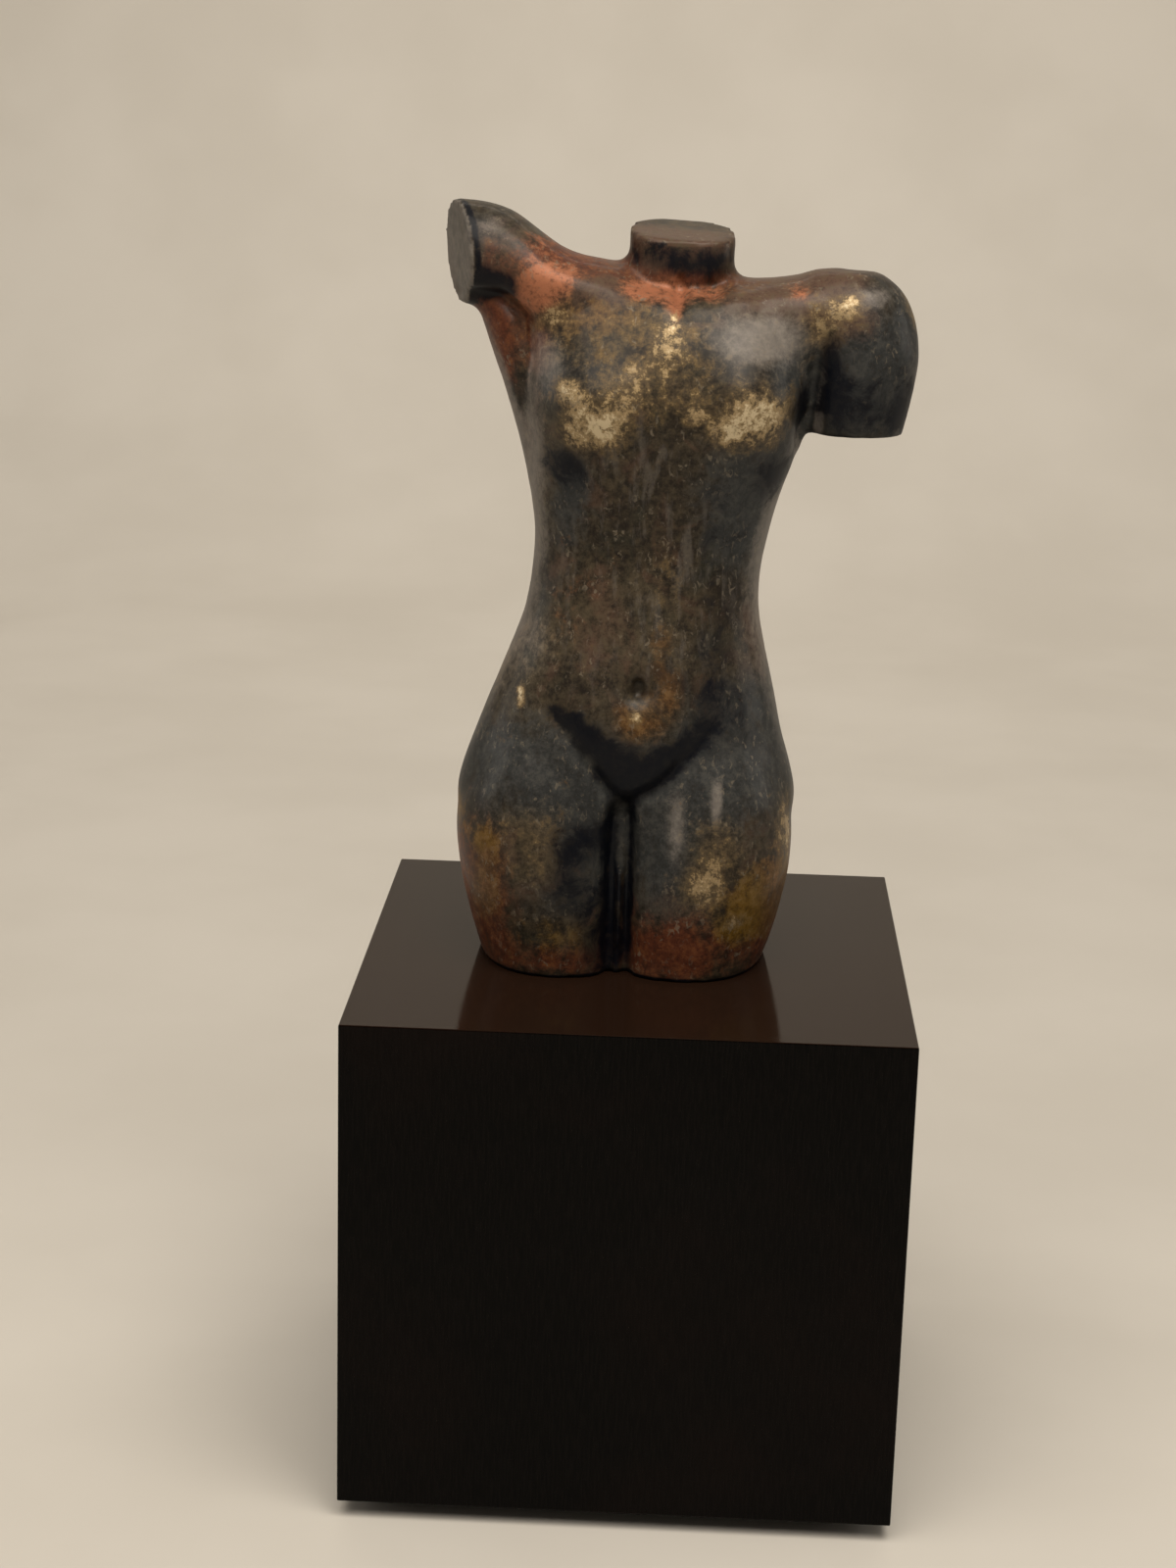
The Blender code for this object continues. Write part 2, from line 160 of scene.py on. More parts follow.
# Furrows, as (side, half width, depth, points), each point with its share of the depth.
# A negative depth is a ridge.
FURROWS = (
    ("front", 0.013, 0.007, ((-0.15, 0.400, 0), (-0.092, 0.322, 1), (-0.046, 0.262, 1), (-0.02, 0.236, 0.8))),
    ("front", 0.013, 0.007, ((0.125, 0.385, 0), (0.065, 0.306, 1), (0.028, 0.264, 1), (-0.02, 0.236, 0.8))),
    ("front", 0.018, 0.005, ((0.030, 0.760, 0), (0.024, 0.680, 1), (0.010, 0.560, 1), (-0.002, 0.440, 0))),
    ("front", 0.014, 0.013, ((-0.005, 0.396, 1), (-0.005, 0.390, 1))),
    ("front", 0.010, 0.008, ((0.031, 0.915, 1), (0.031, 0.895, 1), (0.030, 0.860, 0))),
    ("front", 0.015, -0.005, ((-0.020, 0.892, 0), (-0.060, 0.894, 1), (-0.120, 0.912, 1), (-0.19, 0.935, 0))),
    ("front", 0.015, -0.005, ((0.070, 0.889, 0), (0.100, 0.887, 1), (0.160, 0.893, 1), (0.220, 0.905, 0))),
    ("front", 0.013, 0.007, ((-0.052, 0.930, 0), (-0.010, 0.908, 1), (0.030, 0.903, 1), (0.075, 0.907, 1))),
    ("front", 0.013, 0.007, ((0.075, 0.907, 1), (0.118, 0.922, 0))),
    ("front", 0.011, 0.012, ((-0.262, 0.886, 0.6), (-0.200, 0.884, 1), (-0.172, 0.86, 1), (-0.158, 0.79, 0))),
    ("front", 0.013, 0.012, ((0.202, 0.890, 0), (0.211, 0.850, 0.8), (0.208, 0.785, 1), (0.200, 0.715, 1))),
    ("back", 0.013, 0.012, ((0.204, 0.870, 0), (0.208, 0.785, 1), (0.200, 0.715, 1))),
    ("back", 0.026, 0.018, ((0.024, 0.880, 0), (0.014, 0.760, 1), (0.004, 0.560, 1), (-0.014, 0.380, 0.2))),
    ("back", 0.022, 0.026, ((-0.018, 0.345, 0), (-0.020, 0.270, 1), (-0.020, 0.110, 1))),
    ("back", 0.030, 0.010, ((-0.225, 0.150, 0), (-0.160, 0.112, 1), (-0.040, 0.100, 1))),
    ("back", 0.030, 0.010, ((0.190, 0.150, 0), (0.120, 0.112, 1), (0.000, 0.100, 1))),
)

# The gap between the thighs
GAP_LEFT = -0.039
GAP_RIGHT = -0.006
GAP_TOP = 0.234
GAP_TOP_FADE = 0.009
GAP_EDGE = 0.005
GAP_WALL_FRONT = 0.112
GAP_WALL_BACK = 0.070
GAP_BACK_TOP = 0.100
GAP_BACK_FADE = 0.018
RIB_RISE = 0.018
RIB_HALF_WIDTH = 0.006

# Flat cuts, as (point on the cut, the way that it faces), and the blocks that make them
NECK_CUT = ((0.032, 0.010, 0.973), (0.045, -0.16, 1.0))
RAISED_ARM_CUT = ((-0.260, 0.000, 0.938), (-1.0, -0.34, -0.08))
HANGING_ARM_CUT = ((0.000, 0.000, 0.7185), (0.0, -0.02, -1.0))
FOOT_CUT = ((0.000, 0.000, 0.000), (0.0, 0.0, -1.0))
LIMB_BLOCK = 0.30
FOOT_BLOCK = 0.80
BLOCK_THICKNESS = 0.080
HANGING_ARM_INNER = 0.2005
HANGING_ARM_LEAN = 0.32

# Finer relief than the solid has: the skin's grain in metres, the passes that round the rims, and more
# furrows, in shares
SKIN_GRAIN = 0.0036
RIM_PASSES = 3
FINE_FURROWS = (
    ("front", 0.006, 0.0016, ((-0.12, 0.358, 0), (-0.092, 0.322, 1), (-0.046, 0.262, 1), (-0.022, 0.238, 1))),
    ("front", 0.006, 0.0016, ((0.100, 0.352, 0), (0.065, 0.306, 1), (0.028, 0.264, 1), (-0.018, 0.238, 1))),
    ("front", 0.007, 0.0040, ((-0.005, 0.400, 1), (-0.005, 0.390, 1))),
    (
        "front", 0.006, -0.0012,
        ((-0.018, 0.404, 0.3), (-0.011, 0.412, 1), (0.002, 0.412, 1), (0.009, 0.402, 0.3)),
    ),
    ("front", 0.005, 0.0040, ((0.031, 0.912, 1), (0.031, 0.893, 1), (0.030, 0.872, 0))),
    ("front", 0.005, 0.0034, ((-0.046, 0.930, 0), (-0.008, 0.910, 1), (0.030, 0.904, 1), (0.073, 0.908, 1))),
    ("front", 0.005, 0.0034, ((0.073, 0.908, 1), (0.110, 0.922, 0))),
    ("front", 0.006, 0.0030, ((-0.258, 0.888, 0.7), (-0.2, 0.884, 1), (-0.172, 0.862, 1), (-0.164, 0.82, 0))),
    ("front", 0.006, 0.0022, ((0.206, 0.880, 0), (0.211, 0.850, 1), (0.208, 0.785, 1), (0.203, 0.730, 0.8))),
    ("back", 0.006, 0.0022, ((0.206, 0.860, 0), (0.208, 0.785, 1), (0.203, 0.730, 0.8))),
    ("back", 0.008, 0.0050, ((-0.019, 0.320, 0), (-0.020, 0.270, 1), (-0.020, 0.120, 1))),
)

# The hand's unevenness: waves as (length, height, number), in metres. It is less within a depth of the
# cuts, down to a share, and whatever lies this little above the foot is set level with it.
WAVE_SEED = 7
WAVES = ((0.080, 0.00045, 26), (0.030, 0.00010, 26), (0.012, 0.00004, 26))
CALM_DEPTH = 0.012
CALM_SHARE = 0.25
FOOT_LEVELLING = 0.0008

# Patina, with painted highlights and shade among it. A patch is (side, across, up, radius across, radius up,
# strength), in shares of the torso's height.
# On the left and right sides, across is the depth place, from front to back.
PATCHES = {
    "slate": (
        # raised arm, upper chest, ribs
        ("front", -0.22, 0.95, 0.060, 0.070, 0.6),
        ("front", -0.06, 0.82, 0.060, 0.050, 0.7),
        ("front", -0.13, 0.79, 0.026, 0.050, 0.7),
        ("front", -0.10, 0.64, 0.028, 0.060, 0.9),
        ("front", 0.12, 0.62, 0.050, 0.065, 1.0),
        ("front", 0.14, 0.70, 0.055, 0.040, 0.7),
        # hips and thighs
        ("front", 0.13, 0.37, 0.055, 0.050, 0.5),
        ("front", -0.14, 0.28, 0.090, 0.062, 1.0),
        ("front", -0.06, 0.20, 0.045, 0.095, 0.9),
        ("front", 0.11, 0.28, 0.090, 0.075, 1.0),
        ("front", 0.03, 0.18, 0.044, 0.095, 1.0),
        ("front", -0.12, 0.10, 0.060, 0.050, 0.4),
        # hanging arm
        ("front", 0.28, 0.80, 0.075, 0.095, 1.0),
        ("front", 0.18, 0.78, 0.038, 0.070, 0.9),
        # behind and at the sides
        ("back", -0.13, 0.62, 0.080, 0.120, 0.8),
        ("back", 0.10, 0.80, 0.090, 0.070, 0.8),
        ("back", 0.05, 0.30, 0.120, 0.090, 0.9),
        ("back", -0.15, 0.14, 0.080, 0.080, 0.8),
        ("back", 0.28, 0.80, 0.070, 0.080, 1.0),
        ("left", 0.02, 0.27, 0.090, 0.080, 0.9),
        ("left", 0.03, 0.62, 0.060, 0.070, 0.7),
        ("right", 0.00, 0.80, 0.090, 0.090, 0.9),
        ("right", -0.02, 0.34, 0.080, 0.070, 0.8),
        ("right", 0.03, 0.60, 0.060, 0.080, 0.7),
    ),
    "mauve": (
        ("front", -0.07, 0.92, 0.075, 0.042, 1.0),
        ("front", 0.15, 0.90, 0.070, 0.030, 1.0),
        ("front", 0.21, 0.92, 0.045, 0.016, 0.9),
        ("front", 0.235, 0.875, 0.045, 0.034, 0.75),
        ("front", -0.18, 0.87, 0.022, 0.050, 0.9),
        ("front", 0.03, 0.97, 0.090, 0.035, 0.9),
        ("front", -0.21, 0.94, 0.045, 0.050, 0.5),
        ("front", -0.05, 0.50, 0.030, 0.035, 0.6),
        ("front", -0.06, 0.44, 0.030, 0.030, 0.6),
        ("front", 0.14, 0.43, 0.040, 0.040, 0.35),
        ("front", 0.05, 0.10, 0.060, 0.040, 0.5),
        ("back", 0.05, 0.90, 0.140, 0.040, 0.9),
        ("back", -0.05, 0.45, 0.080, 0.060, 0.6),
        ("left", 0.00, 0.74, 0.080, 0.050, 0.7),
        ("left", 0.00, 0.47, 0.060, 0.060, 0.6),
        ("right", 0.00, 0.46, 0.070, 0.060, 0.7),
    ),
    "ink_and_shade": (
        # the belly's low triangle
        ("front", -0.108, 0.360, 0.013, 0.010, 0.6),
        ("front", -0.092, 0.348, 0.018, 0.012, 0.8),
        ("front", -0.066, 0.325, 0.017, 0.017, 1.0),
        ("front", -0.040, 0.297, 0.016, 0.022, 1.0),
        ("front", -0.014, 0.276, 0.015, 0.031, 1.0),
        ("front", 0.010, 0.284, 0.015, 0.023, 1.0),
        ("front", 0.034, 0.297, 0.016, 0.018, 1.0),
        ("front", 0.058, 0.318, 0.017, 0.013, 0.85),
        ("front", 0.082, 0.340, 0.018, 0.014, 0.6),
        # painted shade in the gap between the thighs: along its two walls, and over the rib in it
        ("front", -0.036, 0.120, 0.006, 0.120, 0.9),
        ("front", -0.008, 0.120, 0.005, 0.120, 0.7),
        ("front", -0.022, 0.050, 0.010, 0.070, 0.62),
        # navel, belly, hip and ribs
        ("front", -0.004, 0.402, 0.028, 0.021, 0.50),
        ("front", 0.085, 0.390, 0.016, 0.050, 0.26),
        ("front", 0.088, 0.480, 0.040, 0.070, 0.26),
        ("front", 0.120, 0.352, 0.056, 0.050, 0.27),
        ("front", 0.100, 0.625, 0.040, 0.050, 0.36),
        ("front", -0.105, 0.655, 0.030, 0.040, 0.34),
        # painted shade under the breasts
        ("front", -0.115, 0.682, 0.022, 0.018, 0.5),
        ("front", 0.165, 0.668, 0.026, 0.026, 0.7),
        # thighs
        ("front", -0.085, 0.140, 0.034, 0.050, 0.5),
        ("front", -0.060, 0.190, 0.030, 0.022, 0.6),
        ("front", -0.050, 0.050, 0.020, 0.050, 0.6),
        # painted shade in the hanging arm's crease with the trunk, the hanging arm, painted shade under the
        # raised arm, and the neck
        ("front", 0.230, 0.780, 0.020, 0.065, 0.62),
        ("front", 0.285, 0.760, 0.050, 0.050, 0.48),
        ("front", -0.220, 0.900, 0.042, 0.020, 0.9),
        ("front", 0.060, 0.938, 0.050, 0.022, 0.62),
        ("front", -0.005, 0.944, 0.030, 0.018, 0.45),
        # behind and at the sides
        ("back", -0.020, 0.200, 0.020, 0.120, 0.9),
        ("back", 0.010, 0.620, 0.030, 0.120, 0.7),
        ("back", 0.230, 0.770, 0.022, 0.060, 0.9),
        ("right", -0.030, 0.750, 0.050, 0.030, 0.7),
        ("left", 0.060, 0.160, 0.040, 0.040, 0.7),
    ),
    "rust": (
        ("front", -0.205, 0.840, 0.024, 0.065, 1.0),
        ("front", -0.225, 0.872, 0.034, 0.014, 0.9),
        ("front", 0.040, 0.915, 0.075, 0.014, 0.8),
        ("front", 0.060, 0.045, 0.066, 0.040, 1.0),
        ("front", -0.110, 0.025, 0.095, 0.026, 0.66),
        ("front", 0.190, 0.085, 0.022, 0.065, 1.0),
        ("front", -0.205, 0.095, 0.034, 0.075, 1.0),
        ("front", -0.150, 0.830, 0.020, 0.030, 0.6),
        ("front", -0.090, 0.510, 0.040, 0.050, 0.3),
        ("front", -0.110, 0.940, 0.070, 0.022, 0.9),
        ("back", -0.120, 0.030, 0.090, 0.030, 1.0),
        ("back", 0.090, 0.040, 0.090, 0.040, 1.0),
        ("back", -0.200, 0.850, 0.030, 0.060, 0.9),
        ("back", 0.060, 0.500, 0.060, 0.050, 0.5),
        ("left", 0.000, 0.850, 0.090, 0.060, 1.0),
        ("left", -0.020, 0.090, 0.090, 0.090, 0.9),
        ("right", -0.020, 0.060, 0.100, 0.070, 0.9),
    ),
    "amber": (
        ("front", 0.030, 0.388, 0.020, 0.034, 0.60),
        ("front", -0.002, 0.354, 0.036, 0.028, 0.72),
        ("front", 0.024, 0.448, 0.015, 0.036, 0.38),
        ("front", -0.200, 0.120, 0.022, 0.058, 0.95),
        ("front", -0.070, 0.866, 0.046, 0.022, 0.60),
        ("front", -0.135, 0.862, 0.026, 0.026, 0.60),
        ("front", 0.184, 0.100, 0.020, 0.050, 0.80),
        ("front", 0.100, 0.900, 0.040, 0.014, 0.35),
        ("back", -0.100, 0.480, 0.050, 0.060, 0.5),
        ("left", -0.010, 0.130, 0.040, 0.050, 0.7),
        ("right", 0.020, 0.140, 0.050, 0.050, 0.6),
    ),
    "copper": (
        ("front", -0.152, 0.896, 0.034, 0.034, 1.0),
        ("front", -0.118, 0.916, 0.026, 0.014, 0.6),
        ("front", -0.150, 0.962, 0.024, 0.018, 0.35),
        ("front", -0.020, 0.902, 0.034, 0.011, 0.8),
        ("front", 0.008, 0.892, 0.016, 0.010, 0.5),
        ("front", 0.026, 0.880, 0.010, 0.026, 0.9),
        ("front", 0.062, 0.896, 0.030, 0.010, 0.7),
        ("front", 0.185, 0.902, 0.014, 0.012, 0.66),
        ("front", 0.020, 0.918, 0.016, 0.011, 0.5),
        ("front", -0.205, 0.120, 0.018, 0.050, 0.15),
        ("front", -0.190, 0.050, 0.026, 0.026, 0.35),
        ("front", 0.190, 0.150, 0.014, 0.040, 0.3),
        ("back", 0.160, 0.900, 0.040, 0.020, 0.9),
        ("back", -0.130, 0.900, 0.050, 0.030, 0.9),
        ("back", -0.200, 0.120, 0.030, 0.060, 0.8),
        ("left", -0.030, 0.120, 0.040, 0.060, 0.8),
        ("left", 0.010, 0.050, 0.050, 0.030, 0.6),
    ),
    "ochre": (
        ("front", -0.004, 0.340, 0.030, 0.020, 0.35),
        ("front", 0.150, 0.106, 0.032, 0.034, 0.95),
        ("front", 0.138, 0.078, 0.026, 0.020, 0.8),
        ("front", -0.203, 0.176, 0.018, 0.020, 1.0),
        ("front", -0.130, 0.430, 0.040, 0.036, 0.26),
        ("front", -0.100, 0.060, 0.060, 0.030, 0.5),
        ("front", -0.040, 0.840, 0.110, 0.060, 0.52),
        ("back", 0.120, 0.120, 0.070, 0.050, 0.9),
        ("back", -0.090, 0.360, 0.060, 0.060, 0.7),
        ("left", -0.040, 0.200, 0.040, 0.024, 0.8),
        ("left", 0.000, 0.400, 0.060, 0.040, 0.6),
        ("right", -0.060, 0.120, 0.060, 0.050, 0.9),
        ("right", 0.000, 0.500, 0.050, 0.050, 0.5),
    ),
    "gold": (
        # breasts
        ("front", -0.065, 0.736, 0.036, 0.030, 1.0),
        ("front", -0.096, 0.724, 0.016, 0.020, 0.6),
        ("front", -0.105, 0.778, 0.012, 0.012, 0.9),
        ("front", -0.010, 0.820, 0.110, 0.050, 0.14),
        ("front", 0.136, 0.752, 0.036, 0.036, 1.0),
        ("front", 0.102, 0.732, 0.020, 0.016, 1.0),
        # breastbone and the strip between the breasts
        ("front", 0.020, 0.838, 0.026, 0.026, 0.66),
        ("front", 0.024, 0.868, 0.008, 0.014, 0.7),
        ("front", -0.030, 0.800, 0.030, 0.022, 0.30),
        ("front", 0.035, 0.790, 0.038, 0.024, 0.34),
        ("front", 0.000, 0.768, 0.034, 0.018, 0.26),
        ("front", 0.055, 0.752, 0.014, 0.012, 0.8),
        # shoulders
        ("front", -0.060, 0.862, 0.040, 0.014, 0.32),
        ("front", -0.132, 0.866, 0.024, 0.024, 0.62),
        ("front", 0.214, 0.862, 0.030, 0.032, 0.60),
        ("front", 0.245, 0.888, 0.024, 0.016, 0.38),
        ("front", 0.250, 0.892, 0.012, 0.010, 0.6),
        # below the navel, on the hip and the thighs
        ("front", -0.006, 0.362, 0.009, 0.010, 0.80),
        ("front", 0.029, 0.525, 0.015, 0.038, 0.34),
        ("front", -0.160, 0.372, 0.005, 0.013, 1.0),
        ("front", -0.140, 0.205, 0.044, 0.032, 0.38),
        ("front", -0.120, 0.150, 0.042, 0.028, 0.34),
        ("front", 0.100, 0.180, 0.034, 0.048, 0.50),
        ("front", 0.085, 0.135, 0.022, 0.020, 0.7),
        ("front", 0.130, 0.088, 0.018, 0.014, 0.55),
        ("front", 0.190, 0.180, 0.012, 0.040, 0.25),
        # behind and at the sides
        ("back", -0.090, 0.790, 0.050, 0.050, 0.75),
        ("back", 0.150, 0.690, 0.040, 0.040, 0.6),
        ("back", -0.120, 0.250, 0.060, 0.050, 0.65),
        ("back", 0.090, 0.200, 0.040, 0.040, 0.7),
        ("left", 0.010, 0.330, 0.040, 0.030, 0.5),
        ("right", 0.000, 0.880, 0.030, 0.030, 0.6),
        ("right", -0.060, 0.190, 0.030, 0.040, 0.6),
    ),
    "ash_and_sheen": (
        # painted highlights and reflections: upper right chest, the hanging arm's shoulder, two on the right
        # thigh, the left chest's edge
        ("front", 0.140, 0.846, 0.056, 0.030, 1.0),
        ("front", 0.280, 0.900, 0.022, 0.014, 0.7),
        ("front", 0.050, 0.210, 0.014, 0.050, 0.7),
        ("front", 0.102, 0.248, 0.008, 0.026, 0.95),
        ("front", -0.130, 0.810, 0.018, 0.030, 0.6),
        # pale ash: the raised arm, the left hip, the back
        ("front", -0.215, 0.975, 0.022, 0.014, 0.45),
        ("front", -0.140, 0.430, 0.034, 0.045, 0.40),
        ("back", 0.050, 0.700, 0.060, 0.050, 0.6),
        # painted reflection down the left and right flanks
        ("left", -0.030, 0.700, 0.050, 0.130, 0.62),
        ("right", -0.030, 0.600, 0.050, 0.110, 0.45),
    ),
}
# A patch fades as a bell curve of the distance in its radii, squared and divided by this
PATCH_SPREAD = 1.6

# Front and back patches meet between these depths, and side patches start where the skin turns sideways
FRONT_ENDS = 0.070
BACK_ENDS = -0.020
SIDE_STARTS = 0.45
SIDE_FULLY = 0.90

# Painted reflection on the flanks, laid on as more pale ash: how far sideways they face, and (middle, reach)
# in depth and in height
PALE_STARTS = 0.64
PALE_FULLY = 0.80
PALE_DEPTH = (-0.030, 0.045)
PALE_HEIGHT = (0.56, 0.30)
FLANK_SHEEN = 0.62

# Fine pale streaks on the belly, as (half width, middle height, half height)
STREAKED = (0.11, 0.57, 0.17)

# Bounds of the raised arm and the neck, in shares, for the painting of their cut faces
RAISED_ARM_ENDS = -0.2
RAISED_ARM_BOTTOM = 0.8
NECK_MIDDLE = 0.03
NECK_REACH = 0.09
NECK_BOTTOM = 0.9

# The cut faces' own tones, the raised arm's dark rim and the dark line at the foot, lengths in metres
CUT_FACE_DEPTH = 0.004
ARM_FACE_ASH = 0.60
ARM_FACE_SLATE = 0.5
NECK_FACE_ASH = 0.22
NOT_ON_CUTS = ("ink_and_shade", "copper", "rust", "gold", "ochre", "amber")
RIM_INK = 0.7
RIM_PLACE = 0.007
RIM_HALF_WIDTH = 0.0040
FOOT_LINE = 0.0035

# Pigments, and the colours of painted highlights and shade, as colours in linear light
AMBER = (0.075, 0.034, 0.009)
AMBER_LIGHT = (0.160, 0.088, 0.034)
UMBER = (0.0130, 0.0098, 0.0068)
OLIVE = (0.070, 0.053, 0.031)
MOSS = (0.018, 0.020, 0.014)
SLATE = (0.024, 0.026, 0.026)
SLATE_LIGHT = (0.053, 0.052, 0.047)
MAUVE = (0.082, 0.045, 0.029)
INK_AND_SHADE = (0.0006, 0.0014, 0.0040)
INK_AND_SHADE_LIGHT = (0.0052, 0.0050, 0.0056)
SPECK = (0.170, 0.140, 0.100)
RUST = (0.080, 0.023, 0.011)
RUST_LIGHT = (0.150, 0.053, 0.020)
COPPER_DEEP = (0.125, 0.048, 0.023)
COPPER = (0.300, 0.115, 0.058)
OCHRE = (0.115, 0.060, 0.006)
OCHRE_LIGHT = (0.165, 0.100, 0.030)
GOLD_DEEP = (0.120, 0.084, 0.045)
GOLD = (0.310, 0.222, 0.115)
CREAM = (0.600, 0.490, 0.315)
ASH_AND_SHEEN = (0.165, 0.145, 0.126)
ASH_AND_SHEEN_LIGHT = (0.215, 0.188, 0.160)
LACQUER = (0.0010, 0.0008, 0.0007)
LACQUER_LIGHT = (0.0030, 0.0022, 0.0018)
LACQUER_CLOUD = (0.0090, 0.0038, 0.0026)
LACQUER_LIT_TOP = (0.0130, 0.0062, 0.0036)
BOARD = (0.006, 0.006, 0.006)
BOARD_LIGHT = (0.014, 0.013, 0.012)
GROUND = (0.560, 0.525, 0.465)
GROUND_LIGHT = (0.600, 0.565, 0.505)

# Noises, as (scale, detail, roughness, distortion). Those of scale 1 are scaled by (x, y, z) instead, and
# the dabs are also turned, in radians.
CLOUD = (7.0, 4.0, 0.60, 0.3)
PATCH = (19.0, 6.0, 0.62, 0.8)
EDGE = (30.0, 9.0, 0.68, 0.5)
FLECK = (105.0, 8.0, 0.78, 0.1)
GRAIN = (300.0, 3.0, 0.65, 0.0)
STREAK = (1.0, 6.0, 0.65, 0.0)
STREAK_STRETCH = (70.0, 70.0, 15.0)
DAB = (1.0, 3.0, 0.55, 0.8)
DAB_STRETCH = (170.0, 170.0, 110.0)
DAB_TURN = (0.0, 0.5, 0.0)
PORES = (1.0, 5.0, 0.60, 0.0)
PORES_STRETCH = (420.0, 420.0, 36.0)
VENEER_CLOUD = (3.2, 4.0, 0.55, 0.2)
SMUDGE = (14.0, 5.0, 0.60, 0.6)
BOARD_GRAIN = (260.0, 4.0, 0.60, 0.0)
GROUND_CLOUD = (1.6, 4.0, 0.50, 0.0)

# Room, in metres: the floor's near end and half width, the wall's place and top, the bend between them
FLOOR_STARTS = -12.0
FLOOR_HALF_WIDTH = 12.0
WALL_PLACE = 6.4
WALL_TOP = 7.0
BEND_RADIUS = 2.0
BEND_STEPS = 12

# Area lights, as (name, place, aim, size, power, colour)
WARM = (1.0, 0.93, 0.84)
PALE_WARM = (1.0, 0.95, 0.88)
LIGHTS = (
    ("ceiling right", (0.75, -1.0, 2.9), (0.1, 0.0, 1.1), (1.3, 1.3), 24.0, WARM),
    ("ceiling", (-0.3, -1.7, 3.7), (0.0, 0.4, 0.6), (4.0, 3.0), 140.0, WARM),
    ("wall wash", (0.0, 3.6, 5.0), (0.0, 6.4, 1.0), (8.0, 1.5), 190.0, WARM),
    ("left wall", (-4.2, 0.6, 1.9), (0.0, 0.0, 1.0), (2.0, 2.4), 26.0, PALE_WARM),
    ("right wall", (4.2, 0.6, 1.9), (0.0, 0.0, 1.0), (2.0, 2.4), 26.0, PALE_WARM),
)
GLOW = (1.0, 0.91, 0.80)
GLOW_STRENGTH = 0.15

# Camera: its place in metres, its turns in degrees, its lens and sensor in millimetres
CAMERA_PLACE = (0.0515, -2.986, 1.569)
CAMERA_PITCH = math.radians(15.23)
CAMERA_YAW = math.radians(2.12)
CAMERA_ROLL = math.radians(1.55)
CAMERA_LENS = 63.585
SENSOR = 36.0


def object_from_bmesh(name, form):
    mesh = bpy.data.meshes.new(name)
    form.to_mesh(mesh)
    form.free()
    made = bpy.data.objects.new(name, mesh)
    bpy.context.scene.collection.objects.link(made)
    return made


def between_stations(stations):
    """The rows of a smooth run through the stations, a few for each step."""
    rows = np.array(stations, dtype=float)
    before = np.vstack([2 * rows[:1] - rows[1:2], rows[:-1]])
    after = np.vstack([rows[1:], 2 * rows[-1:] - rows[-2:-1]])
    slopes = (after - before) / 2
    run = []
    for here, there, leave, arrive in zip(rows[:-1], rows[1:], slopes[:-1], slopes[1:]):
        for step in range(ROWS_BETWEEN_STATIONS):
            t = step / ROWS_BETWEEN_STATIONS
            stay = 2 * t**3 - 3 * t**2 + 1
            bend = (t**3 - 2 * t**2 + t) * leave + (t**3 - t**2) * arrive
            run.append(stay * here + (1 - stay) * there + bend)
    run.append(rows[-1])
    return run


def rounded(angle, squareness):
    """The two places of an angle on a rounded square of half side 1, its left and right half unlike."""
    along, up = math.cos(angle), math.sin(angle)
    left, right = squareness
    power = 2 / (right if along > 0 else left)
    return math.copysign(abs(along) ** power, along), math.copysign(abs(up) ** power, up)


def level_ring(row, squareness):
    """A level section: its edges, its reach to the front and back, its left and right squareness."""
    height, left, right, front, back = row
    middle, half = (left + right) / 2, (right - left) / 2
    ring = []
    for side in range(RING_SIDES):
        across, deep = rounded(2 * math.pi * side / RING_SIDES, squareness)
        ring.append((middle + half * across, deep * (back if deep > 0 else front), height))
    return ring


def upright_ring(row, squareness):
    """An upright section across the body: its middle height, half height, front and back."""
    place, middle, half, front, back = row
    ring = []
    for side in range(RING_SIDES):
        deep, up = rounded(2 * math.pi * side / RING_SIDES, (squareness, squareness))
        ring.append((place, deep * (back if deep > 0 else front), middle + half * up))
    return ring


def add_loft(form, rings):
    """A closed skin through the rings, capped at both ends."""
    rows = [[form.verts.new(point) for point in ring] for ring in rings]
    for low, high in zip(rows[:-1], rows[1:]):
        for side in range(RING_SIDES):
            beside = (side + 1) % RING_SIDES
            form.faces.new((low[side], low[beside], high[beside], high[side]))
    form.faces.new(rows[0][::-1])
    form.faces.new(rows[-1])


def add_level_mass(form, stations, squareness):
    add_loft(form, [level_ring(row, squareness) for row in between_stations(stations)])


def add_ball(form, across, deep, height, across_radius, deep_radius, height_radius):
    made = bmesh.ops.create_uvsphere(form, u_segments=RING_SIDES, v_segments=RING_SIDES // 2, radius=1.0)
    bmesh.ops.scale(form, vec=(across_radius, deep_radius, height_radius), verts=made["verts"])
    bmesh.ops.translate(form, vec=(across, deep, height), verts=made["verts"])


